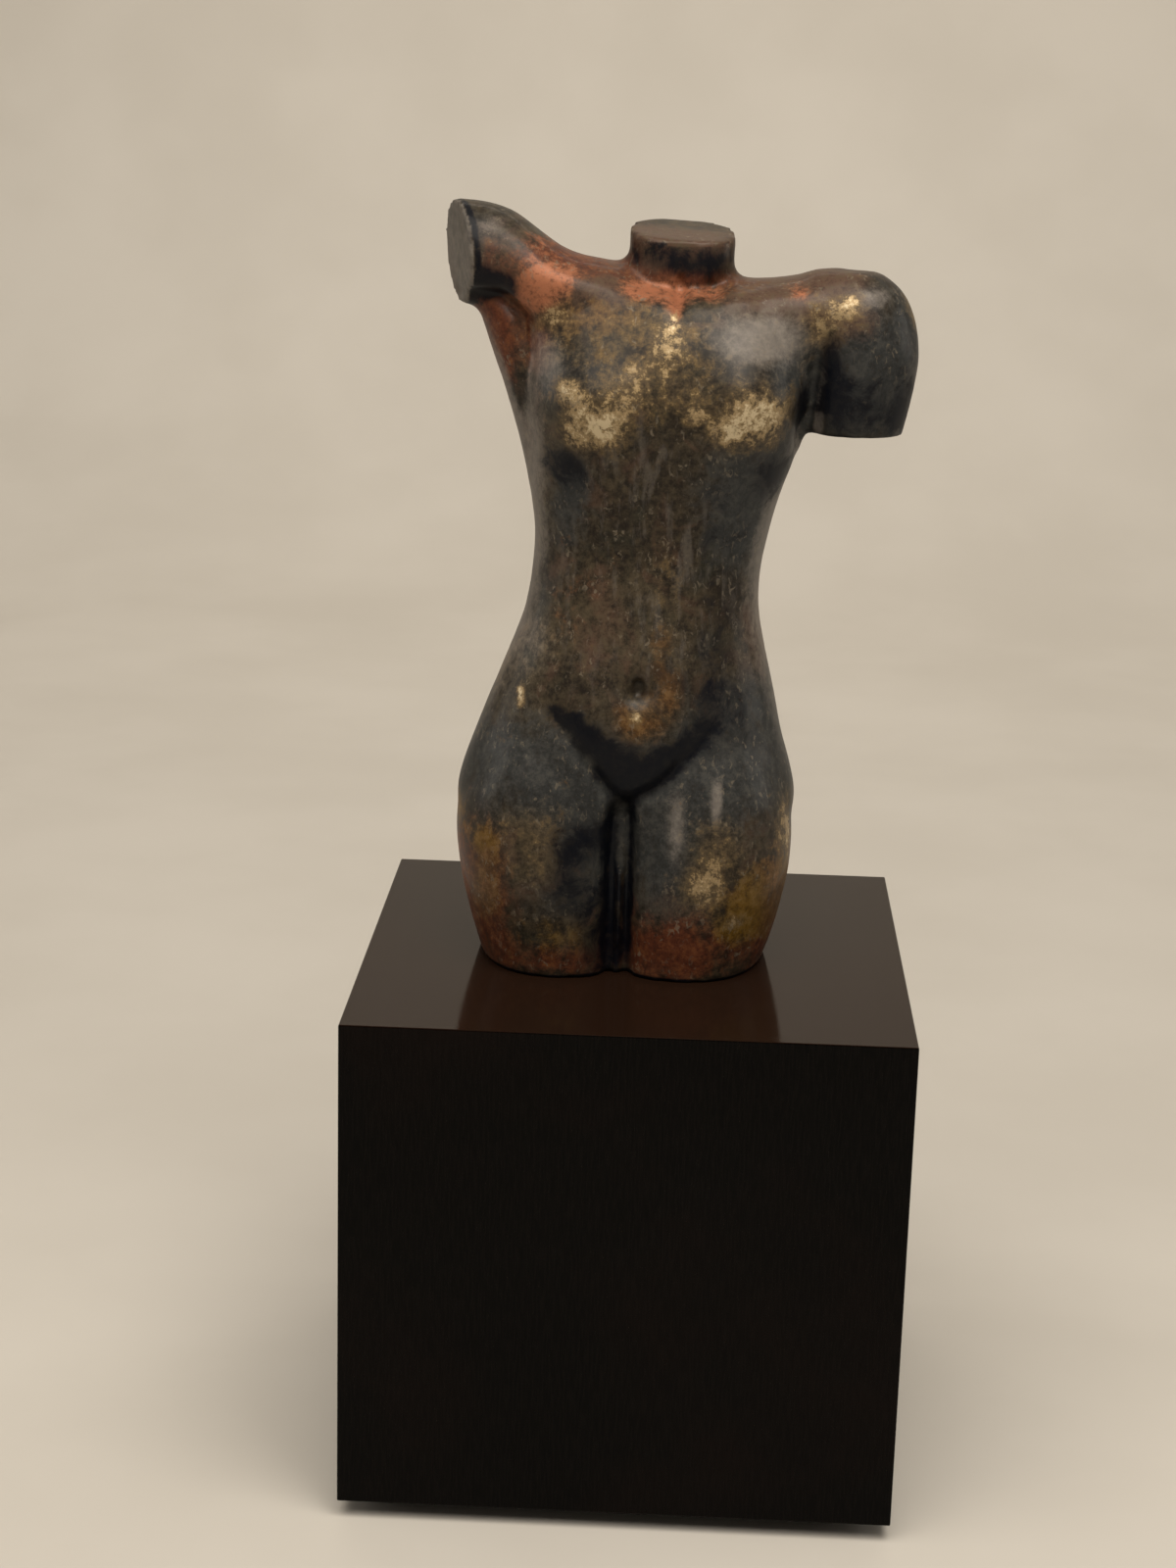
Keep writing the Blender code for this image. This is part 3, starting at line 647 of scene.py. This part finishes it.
def add_masses():
    """The body's masses, overlapping, at full size."""
    form = bmesh.new()
    add_level_mass(form, TRUNK, (TRUNK_SQUARENESS, TRUNK_SQUARENESS))
    add_level_mass(form, FLANK, (LIMB_SQUARENESS, LIMB_SQUARENESS))
    add_level_mass(form, LEFT_THIGH, (OUTER_THIGH_SQUARENESS, INNER_THIGH_SQUARENESS))
    add_level_mass(form, RIGHT_THIGH, (INNER_THIGH_SQUARENESS, OUTER_THIGH_SQUARENESS))
    add_level_mass(form, HANGING_ARM, (LIMB_SQUARENESS, LIMB_SQUARENESS))
    add_level_mass(form, NECK, (NECK_SQUARENESS, NECK_SQUARENESS))
    add_loft(form, [upright_ring(row, LIMB_SQUARENESS) for row in between_stations(SHOULDERS)])
    for muscle in SEAT:
        add_ball(form, *muscle)
    bmesh.ops.recalc_face_normals(form, faces=form.faces)
    bmesh.ops.scale(form, vec=(TORSO_HEIGHT,) * 3, verts=form.verts)
    return object_from_bmesh("torso_surface", form)


def settle(thing):
    """Replace an object's mesh by what its modifiers make of it."""
    graph = bpy.context.evaluated_depsgraph_get()
    mesh = bpy.data.meshes.new_from_object(thing.evaluated_get(graph))
    rough = thing.data
    thing.modifiers.clear()
    thing.data = mesh
    bpy.data.meshes.remove(rough)
    mesh.name = thing.name


def one_skin(thing, grain, passes):
    """Make one skin of an object's closed bodies, with faces of the grain's size, and soften it."""
    skin = thing.modifiers.new("one skin", "REMESH")
    skin.mode = "VOXEL"
    skin.voxel_size = grain
    soften = thing.modifiers.new("soften", "SMOOTH")
    soften.factor = SOFTENING
    soften.iterations = passes
    settle(thing)


def furrow_depth(across, height, half_width, path):
    """How deep a furrow is at each place on the front or back, from 0 to 1."""
    deepest = np.zeros(across.shape)
    for (x0, z0, depth0), (x1, z1, depth1) in zip(path[:-1], path[1:]):
        run_x, run_z = x1 - x0, z1 - z0
        share = np.clip(((across - x0) * run_x + (height - z0) * run_z) / (run_x**2 + run_z**2), 0, 1)
        away = np.hypot(across - x0 - share * run_x, height - z0 - share * run_z)
        depth = (depth0 + share * (depth1 - depth0)) * np.exp(-((away / half_width) ** 2))
        deepest = np.maximum(deepest, depth)
    return deepest


def facing(normals, side):
    """How much each place faces the front or the back, from 0 to 1."""
    towards = -normals[:, 1] if side == "front" else normals[:, 1]
    return np.clip(towards / FACES_FULLY, 0, 1)


def step_up(value, edge):
    """A soft step from 0 to 1 at 0."""
    return 0.5 + 0.5 * np.tanh(value / edge)


def sink_gap(places):
    """Push the skin between the thighs back to the wall that joins them, in front and behind."""
    across, deep, height = (places / TORSO_HEIGHT).T
    inside = step_up(across - GAP_LEFT, GAP_EDGE) * step_up(GAP_RIGHT - across, GAP_EDGE)
    middle = (GAP_LEFT + GAP_RIGHT) / 2
    rib = RIB_RISE * np.exp(-(((across - middle) / RIB_HALF_WIDTH) ** 2))
    front = inside * step_up(GAP_TOP - height, GAP_TOP_FADE) * (deep < -GAP_WALL_FRONT + rib)
    back = inside * step_up(GAP_BACK_TOP - height, GAP_BACK_FADE) * (deep > GAP_WALL_BACK)
    deep = deep + front * (-GAP_WALL_FRONT - rib - deep)
    deep = deep + back * (GAP_WALL_BACK - deep)
    places[:, 1] = deep * TORSO_HEIGHT


def read_skin(mesh):
    """The places and the outward directions of a mesh's points."""
    count = len(mesh.vertices)
    places = np.empty(count * 3)
    normals = np.empty(count * 3)
    mesh.vertices.foreach_get("co", places)
    mesh.vertex_normals.foreach_get("vector", normals)
    return places.reshape(-1, 3), normals.reshape(-1, 3)


def write_skin(mesh, places):
    mesh.vertices.foreach_set("co", places.ravel())
    mesh.update()


def model_surface(mesh):
    """Raise the swellings and cut the furrows, along the skin's own direction."""
    places, normals = read_skin(mesh)
    across, height = places[:, 0] / TORSO_HEIGHT, places[:, 2] / TORSO_HEIGHT
    rise = np.zeros(len(places))
    for side, x, z, radius_x, radius_z, lift in SWELLINGS:
        far = ((across - x) / radius_x) ** 2 + ((height - z) / radius_z) ** 2
        rise += lift * np.exp(-far) * facing(normals, side)
    for side, half_width, depth, path in FURROWS:
        rise -= depth * furrow_depth(across, height, half_width, path) * facing(normals, side)
    places += normals * (rise * TORSO_HEIGHT)[:, None]
    sink_gap(places)
    write_skin(mesh, places)


def add_cutter(name, cut, side):
    """A flat block with one face on the cut, standing off the way that the cut faces."""
    point, way = Vector(cut[0]) * TORSO_HEIGHT, Vector(cut[1]).normalized()
    beside = Vector((0, 1, 0)).cross(way).normalized()
    turn = Matrix((beside, way.cross(beside), way)).transposed()
    side *= TORSO_HEIGHT
    thick = BLOCK_THICKNESS * TORSO_HEIGHT
    form = bmesh.new()
    bmesh.ops.create_cube(form, size=1.0)
    bmesh.ops.scale(form, vec=(side, side, thick), verts=form.verts)
    block = object_from_bmesh(name, form)
    block.location = point + way * (thick / 2)
    block.rotation_euler = turn.to_euler()
    return block


def keep_trunk(block):
    """Set the hanging arm's block beside the trunk, leaning in below the cut as the trunk's side does."""
    block.location.x += (HANGING_ARM_INNER + LIMB_BLOCK / 2) * TORSO_HEIGHT
    for corner in block.data.vertices:
        below = corner.co.z + BLOCK_THICKNESS / 2 * TORSO_HEIGHT
        corner.co.x += below * HANGING_ARM_LEAN
    return block


def cut_limbs(thing):
    """Cut the neck, the arms and the thighs off flat."""
    blocks = [
        add_cutter("neck cut", NECK_CUT, LIMB_BLOCK),
        add_cutter("raised arm cut", RAISED_ARM_CUT, LIMB_BLOCK),
        keep_trunk(add_cutter("hanging arm cut", HANGING_ARM_CUT, LIMB_BLOCK)),
        add_cutter("foot cut", FOOT_CUT, FOOT_BLOCK),
    ]
    for block in blocks:
        cut = thing.modifiers.new(block.name, "BOOLEAN")
        cut.operation = "DIFFERENCE"
        cut.solver = "EXACT"
        cut.object = block
    bpy.context.view_layer.update()
    settle(thing)
    for block in blocks:
        bpy.data.objects.remove(block, do_unlink=True)


def cut_distance(places, cut):
    """How far each place is inside a cut, in metres."""
    way = np.array(Vector(cut[1]).normalized())
    return (np.array(cut[0]) * TORSO_HEIGHT - places) @ way


def hand_unevenness(places):
    """The slight waves of a surface that was modelled by hand."""
    chance = np.random.default_rng(WAVE_SEED)
    rise = np.zeros(len(places))
    for length, height, count in WAVES:
        ways = chance.normal(size=(count, 3))
        ways /= np.linalg.norm(ways, axis=1, keepdims=True)
        phases = chance.uniform(0, 2 * math.pi, count)
        rise += height * np.sin(places @ ways.T * (2 * math.pi / length) + phases).sum(1) / math.sqrt(count)
    return rise


def refine_surface(mesh):
    """Add the creases and the unevenness that are finer than the solid, and keep the cuts flat."""
    places, normals = read_skin(mesh)
    across, height = places[:, 0] / TORSO_HEIGHT, places[:, 2] / TORSO_HEIGHT
    rise = np.zeros(len(places))
    for side, half_width, depth, path in FINE_FURROWS:
        rise -= depth * TORSO_HEIGHT * furrow_depth(across, height, half_width, path) * facing(normals, side)
    off_cuts = np.ones(len(places))
    for cut in (NECK_CUT, RAISED_ARM_CUT, FOOT_CUT):
        off_cuts *= np.clip(cut_distance(places, cut) / CALM_DEPTH, CALM_SHARE, 1)
    rise += hand_unevenness(places) * off_cuts
    places += normals * rise[:, None]
    places[:, 2] = np.where(places[:, 2] < FOOT_LEVELLING, 0.0, places[:, 2])
    write_skin(mesh, places)


def seat_on_solid(mesh):
    """Stand the surface where the solid stands, no taller than it."""
    low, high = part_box("torso")
    places, _ = read_skin(mesh)
    tallest = places[:, 2].max()
    if tallest > high.z - low.z:
        places[:, 2] *= (high.z - low.z) / tallest
    places[:, 2] += low.z
    write_skin(mesh, places)


def write_field(mesh, name, values):
    field = mesh.attributes.new(name, "FLOAT", "POINT")
    field.data.foreach_set("value", values.astype(np.float32))


def sides_of(normals, across, deep):
    """For each side, the place along it and how much every place belongs to it."""
    in_front = np.clip((FRONT_ENDS - deep) / (FRONT_ENDS - BACK_ENDS), 0, 1)
    in_front = in_front**2 * (3 - 2 * in_front)
    sideways = normals[:, 0]
    turn = SIDE_FULLY - SIDE_STARTS
    return {
        "front": (across, in_front),
        "back": (across, 1 - in_front),
        "left": (deep, np.clip((-sideways - SIDE_STARTS) / turn, 0, 1)),
        "right": (deep, np.clip((sideways - SIDE_STARTS) / turn, 0, 1)),
    }


def coverage(patches, sides, height):
    """How much of a pigment its patches lay on every place, from 0 to 1."""
    bare = np.ones(len(height))
    for side, x, z, radius_x, radius_z, strength in patches:
        along, there = sides[side]
        far = ((along - x) / radius_x) ** 2 + ((height - z) / radius_z) ** 2
        bare *= 1 - np.clip(strength * there * np.exp(-far / PATCH_SPREAD), 0, 1)
    return 1 - bare


def flank_sheen_share(normals, deep, height):
    """How much of the painted reflection on the pale flanks every place gets."""
    depth_middle, depth_reach = PALE_DEPTH
    height_middle, height_reach = PALE_HEIGHT
    share = np.clip((np.abs(normals[:, 0]) - PALE_STARTS) / (PALE_FULLY - PALE_STARTS), 0, 1)
    share *= np.exp(-(((deep - depth_middle) / depth_reach) ** 2))
    return share * np.exp(-(((height - height_middle) / height_reach) ** 4))


def paint_cuts(fields, places, across, height):
    """Give the cut faces their plain tones, and draw the raised arm's dark rim and the line at the foot."""
    raised_arm = (across < RAISED_ARM_ENDS) & (height > RAISED_ARM_BOTTOM)
    neck = (np.abs(across - NECK_MIDDLE) < NECK_REACH) & (height > NECK_BOTTOM)
    from_cut = cut_distance(places, RAISED_ARM_CUT)
    arm_face = raised_arm & (from_cut < CUT_FACE_DEPTH)
    neck_face = neck & (cut_distance(places, NECK_CUT) < CUT_FACE_DEPTH)
    on_neck = np.where(neck_face, NECK_FACE_ASH, fields["ash_and_sheen"])
    fields["ash_and_sheen"] = np.where(arm_face, ARM_FACE_ASH, on_neck)
    fields["slate"] = np.where(arm_face, ARM_FACE_SLATE, fields["slate"])
    for pigment in NOT_ON_CUTS:
        fields[pigment] = np.where(arm_face | neck_face, 0.0, fields[pigment])
    rim = RIM_INK * np.exp(-(((from_cut - RIM_PLACE) / RIM_HALF_WIDTH) ** 2)) * raised_arm
    foot = np.exp(-((places[:, 2] / FOOT_LINE) ** 2))
    fields["ink_and_shade"] = np.maximum(fields["ink_and_shade"], np.maximum(rim, foot))


def patina_fields(mesh, seat):
    """Write how much of each pigment every place holds, from 0 to 1."""
    places, normals = read_skin(mesh)
    places[:, 2] -= seat
    across, deep, height = (places / TORSO_HEIGHT).T
    sides = sides_of(normals, across, deep)
    fields = {pigment: coverage(patches, sides, height) for pigment, patches in PATCHES.items()}
    # painted reflection along the flanks, added to the ash and sheen
    fields["ash_and_sheen"] = 1 - (1 - fields["ash_and_sheen"]) * (1 - FLANK_SHEEN * flank_sheen_share(normals, deep, height))
    paint_cuts(fields, places, across, height)
    half_width, middle, half_height = STREAKED
    streaked = np.exp(-((across / half_width) ** 2) - ((height - middle) / half_height) ** 2)
    fields["streaks"] = streaked * sides["front"][1]
    for name, values in fields.items():
        write_field(mesh, name, values)


class Paint:
    """Shader nodes of one material, each method giving the output that the next one takes."""

    def __init__(self, name):
        self.material = bpy.data.materials.new(name)
        self.material.use_nodes = True
        self.tree = self.material.node_tree
        self.shader = self.tree.nodes["Principled BSDF"]
        self.place = self.node("ShaderNodeTexCoord").outputs["Object"]

    def node(self, kind, **settings):
        made = self.tree.nodes.new(kind)
        for name, value in settings.items():
            setattr(made, name, value)
        return made

    def feed(self, socket, value):
        if isinstance(value, bpy.types.NodeSocket):
            self.tree.links.new(value, socket)
        elif isinstance(value, tuple) and len(value) == 3 and socket.type == "RGBA":
            socket.default_value = (*value, 1.0)
        else:
            socket.default_value = value

    def set(self, name, value):
        self.feed(self.shader.inputs[name], value)

    def stretched(self, scale, turn=(0.0, 0.0, 0.0)):
        made = self.node("ShaderNodeMapping")
        self.feed(made.inputs["Vector"], self.place)
        made.inputs["Scale"].default_value = scale
        made.inputs["Rotation"].default_value = turn
        return made.outputs["Vector"]

    def noise(self, scale, detail, roughness, distortion, place=None):
        made = self.node("ShaderNodeTexNoise")
        self.feed(made.inputs["Vector"], place or self.place)
        made.inputs["Scale"].default_value = scale
        made.inputs["Detail"].default_value = detail
        made.inputs["Roughness"].default_value = roughness
        made.inputs["Distortion"].default_value = distortion
        return made.outputs["Fac"]

    def upward(self):
        """How far the surface faces up."""
        made = self.node("ShaderNodeSeparateXYZ")
        self.feed(made.inputs[0], self.node("ShaderNodeTexCoord").outputs["Normal"])
        return made.outputs["Z"]

    def field(self, name):
        return self.node("ShaderNodeAttribute", attribute_name=name).outputs["Fac"]

    def sum(self, *terms):
        """The sum of (factor, value) pairs."""
        total = None
        for factor, value in terms:
            made = self.node("ShaderNodeMath", operation="MULTIPLY_ADD")
            self.feed(made.inputs[0], value)
            self.feed(made.inputs[1], factor)
            self.feed(made.inputs[2], 0.0 if total is None else total)
            total = made.outputs[0]
        return total

    def times(self, first, second):
        made = self.node("ShaderNodeMath", operation="MULTIPLY")
        self.feed(made.inputs[0], first)
        self.feed(made.inputs[1], second)
        return made.outputs[0]

    def step(self, value, low, high, to_low=0.0, to_high=1.0):
        """A smooth rise, or fall, of one value while another goes from low to high."""
        made = self.node("ShaderNodeMapRange", interpolation_type="SMOOTHSTEP")
        self.feed(made.inputs["Value"], value)
        made.inputs["From Min"].default_value = low
        made.inputs["From Max"].default_value = high
        made.inputs["To Min"].default_value = to_low
        made.inputs["To Max"].default_value = to_high
        return made.outputs["Result"]

    def mix(self, share, first, second):
        """A colour that goes from the first to the second as the share goes from 0 to 1."""
        made = self.node("ShaderNodeMix", data_type="RGBA")
        self.feed(made.inputs[0], share)
        self.feed(made.inputs[6], first)
        self.feed(made.inputs[7], second)
        return made.outputs[2]

    def bump(self, height, distance, strength):
        made = self.node("ShaderNodeBump")
        self.feed(made.inputs["Height"], height)
        made.inputs["Distance"].default_value = distance
        made.inputs["Strength"].default_value = strength
        self.feed(self.shader.inputs["Normal"], made.outputs["Normal"])


def patina():
    """Layers of dark pigment, rust, copper and gold leaf with ragged edges, with painted highlights and shade
    among them, under a clear gloss coat.
    """
    paint = Paint("patinated_resin")
    cloud = paint.noise(*CLOUD)
    patch = paint.noise(*PATCH)
    edge = paint.noise(*EDGE)
    fleck = paint.noise(*FLECK)
    grain = paint.noise(*GRAIN)
    streak = paint.noise(*STREAK, place=paint.stretched(STREAK_STRETCH))

    def held(name, edge_part, fleck_part):
        """A pigment's field, broken up by the noises around their middle."""
        middle = -0.5 * (edge_part + fleck_part)
        return paint.sum((1.0, paint.field(name)), (edge_part, edge), (fleck_part, fleck), (middle, 1.0))

    def wash(colour, name, pigment, light, amount=1.0, low=0.22, high=0.88, ragged=1.0):
        """A soft coat of pigment with lighter flecks in it."""
        mottled = paint.mix(paint.step(fleck, 0.44, 0.66, 0.0, 0.85), pigment, light)
        share = paint.step(held(name, 1.5 * ragged, 0.9 * ragged), low, high, 0.0, amount)
        return paint.mix(share, colour, mottled)

    ground = paint.mix(paint.step(paint.sum((0.4, cloud), (0.6, fleck)), 0.38, 0.66), UMBER, OLIVE)
    ground = paint.mix(paint.step(patch, 0.54, 0.68, 0.0, 0.45), ground, MAUVE)
    ground = paint.mix(paint.step(patch, 0.32, 0.48, 0.45, 0.0), ground, MOSS)
    streaked = paint.step(paint.field("streaks"), 0.05, 0.6, 0.04, 0.25)
    lines = paint.times(paint.step(streak, 0.50, 0.66), streaked)
    colour = paint.mix(lines, ground, ASH_AND_SHEEN)
    colour = wash(colour, "slate", SLATE, SLATE_LIGHT, amount=0.92)
    colour = wash(colour, "mauve", MAUVE, OLIVE, amount=0.9)
    colour = wash(colour, "rust", RUST, RUST_LIGHT)
    colour = wash(colour, "ochre", OCHRE, OCHRE_LIGHT)
    colour = wash(colour, "amber", AMBER, AMBER_LIGHT)
    # pale ash, and the painted highlights and reflections, with smoother edges
    colour = wash(colour, "ash_and_sheen", ASH_AND_SHEEN, ASH_AND_SHEEN_LIGHT, amount=0.80, ragged=0.5)
    colour = wash(colour, "copper", COPPER_DEEP, COPPER)
    colour = wash(colour, "gold", GOLD_DEEP, OCHRE_LIGHT, amount=0.85, low=0.16, high=0.72)
    copper = paint.step(held("copper", 0.9, 0.9), 0.50, 0.90)
    colour = paint.mix(copper, colour, COPPER)
    leaf = held("gold", 1.1, 1.9)
    gold = paint.step(leaf, 0.56, 0.72)
    colour = paint.mix(gold, colour, GOLD)
    colour = paint.mix(paint.step(leaf, 0.78, 1.0), colour, CREAM)
    dab = paint.noise(*DAB, place=paint.stretched(DAB_STRETCH, DAB_TURN))
    specks = paint.times(paint.step(dab, 0.58, 0.66), paint.step(edge, 0.42, 0.62, 0.0, 0.6))
    colour = paint.mix(specks, colour, SPECK)
    pits = paint.step(paint.sum((0.7, fleck), (0.3, grain)), 0.34, 0.52, 0.55, 0.0)
    # fewer pits where the ash and the painted highlights lie, so that these stay smooth
    pits = paint.times(pits, paint.step(paint.field("ash_and_sheen"), 0.2, 0.8, 1.0, 0.3))
    colour = paint.mix(pits, colour, UMBER)
    # ink, with the painted shade in the gap between the thighs, under the breasts, under the raised arm and
    # in the hanging arm's crease
    colour = wash(colour, "ink_and_shade", INK_AND_SHADE, INK_AND_SHADE_LIGHT, amount=0.97, low=0.20, high=0.62)

    paint.set("Base Color", colour)
    paint.set("Metallic", paint.sum((0.40, gold), (0.25, copper), (0.06, 1.0)))
    paint.set("Roughness", paint.step(paint.sum((0.6, fleck), (0.4, edge)), 0.30, 0.70, 0.42, 0.62))
    paint.set("Specular IOR Level", 0.12)
    paint.set("Coat Weight", 0.14)
    paint.set("Coat Roughness", 0.18)
    paint.bump(paint.sum((0.5, gold), (0.35, fleck), (0.20, streak), (0.15, grain)), 0.0006, 0.6)
    return paint.material


def lacquer():
    """A near black brown lacquer over fine grained veneer, polished, with a painted reflection that makes it
    browner where it faces up.
    """
    paint = Paint("dark_lacquer")
    pores = paint.noise(*PORES, place=paint.stretched(PORES_STRETCH))
    cloud = paint.noise(*VENEER_CLOUD)
    smudge = paint.noise(*SMUDGE)
    colour = paint.mix(paint.step(pores, 0.38, 0.66), LACQUER, LACQUER_LIGHT)
    colour = paint.mix(paint.step(cloud, 0.45, 0.75, 0.0, 0.35), colour, LACQUER_CLOUD)
    # painted reflection: the top is browner and lighter
    colour = paint.mix(paint.step(paint.upward(), 0.4, 0.9), colour, LACQUER_LIT_TOP)
    paint.set("Base Color", colour)
    paint.set("Roughness", paint.step(smudge, 0.35, 0.70, 0.06, 0.11))
    paint.set("Specular IOR Level", 0.07)
    paint.bump(paint.sum((0.7, pores), (0.5, smudge)), 0.0002, 0.2)
    return paint.material


def black_board():
    """Matt black painted board."""
    paint = Paint("black_base")
    grain = paint.noise(*BOARD_GRAIN)
    colour = paint.mix(paint.step(grain, 0.35, 0.65), BOARD, BOARD_LIGHT)
    paint.set("Base Color", colour)
    paint.set("Roughness", paint.step(grain, 0.30, 0.70, 0.55, 0.75))
    paint.bump(grain, 0.0003, 0.4)
    return paint.material


def pale_ground():
    """Plain warm pale paint, for the floor and the backdrop."""
    paint = Paint("pale_ground")
    cloud = paint.noise(*GROUND_CLOUD)
    paint.set("Base Color", paint.mix(paint.step(cloud, 0.30, 0.70), GROUND, GROUND_LIGHT))
    paint.set("Roughness", 0.75)
    return paint.material


def dress(thing, material):
    thing.data.materials.clear()
    thing.data.materials.append(material)


def make_torso():
    torso = add_masses()
    one_skin(torso, FORM_GRAIN * TORSO_HEIGHT, BLEND_PASSES)
    model_surface(torso.data)
    cut_limbs(torso)
    one_skin(torso, SKIN_GRAIN, RIM_PASSES)
    refine_surface(torso.data)
    seat_on_solid(torso.data)
    patina_fields(torso.data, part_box("torso")[0].z)
    torso.data.shade_smooth()
    dress(torso, patina())
    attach(torso, "root")
    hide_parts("torso")


def make_room():
    """A pale floor that curves up into a pale wall."""
    form = bmesh.new()
    bend_starts = WALL_PLACE - BEND_RADIUS
    profile = [(FLOOR_STARTS, 0.0), (bend_starts, 0.0)]
    for step in range(1, BEND_STEPS + 1):
        angle = math.pi / 2 * step / BEND_STEPS
        ahead, up = BEND_RADIUS * math.sin(angle), BEND_RADIUS - BEND_RADIUS * math.cos(angle)
        profile.append((bend_starts + ahead, up))
    profile.append((WALL_PLACE, WALL_TOP))
    left = [form.verts.new((-FLOOR_HALF_WIDTH, y, z)) for y, z in profile]
    right = [form.verts.new((FLOOR_HALF_WIDTH, y, z)) for y, z in profile]
    for row in range(len(profile) - 1):
        form.faces.new((left[row], right[row], right[row + 1], left[row + 1]))
    room = object_from_bmesh("floor_and_backdrop", form)
    room.data.shade_smooth()
    dress(room, pale_ground())


def add_area_light(name, place, target, size, power, colour):
    light = bpy.data.lights.new(name, "AREA")
    light.shape = "RECTANGLE"
    light.size, light.size_y = size
    light.energy = power
    light.color = colour
    lamp = bpy.data.objects.new(name, light)
    lamp.location = place
    lamp.rotation_euler = (Vector(target) - Vector(place)).to_track_quat("-Z", "Y").to_euler()
    bpy.context.scene.collection.objects.link(lamp)


def light_room():
    for light in LIGHTS:
        add_area_light(*light)
    world = bpy.data.worlds.new("soft room")
    world.use_nodes = True
    glow = world.node_tree.nodes["Background"]
    glow.inputs["Color"].default_value = (*GLOW, 1.0)
    glow.inputs["Strength"].default_value = GLOW_STRENGTH
    bpy.context.scene.world = world
    bpy.context.scene.view_settings.view_transform = "Standard"


def add_camera():
    pitch, yaw, roll = CAMERA_PITCH, CAMERA_YAW, CAMERA_ROLL
    right = Vector((math.cos(yaw), math.sin(yaw), 0.0))
    ahead = Vector((-math.sin(yaw) * math.cos(pitch), math.cos(yaw) * math.cos(pitch), -math.sin(pitch)))
    up = right.cross(ahead)
    turned_right = math.cos(roll) * right + math.sin(roll) * up
    turned_up = -math.sin(roll) * right + math.cos(roll) * up
    lens = bpy.data.cameras.new("camera")
    lens.lens = CAMERA_LENS
    lens.sensor_width = SENSOR
    lens.sensor_fit = "AUTO"
    camera = bpy.data.objects.new("camera", lens)
    turn = Matrix((turned_right, turned_up, -ahead)).transposed().to_4x4()
    camera.matrix_world = Matrix.Translation(CAMERA_PLACE) @ turn
    bpy.context.scene.collection.objects.link(camera)
    bpy.context.scene.camera = camera


make_torso()
dress(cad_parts["plinth_body"], lacquer())
dress(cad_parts["plinth_base"], black_board())
make_room()
light_room()
add_camera()
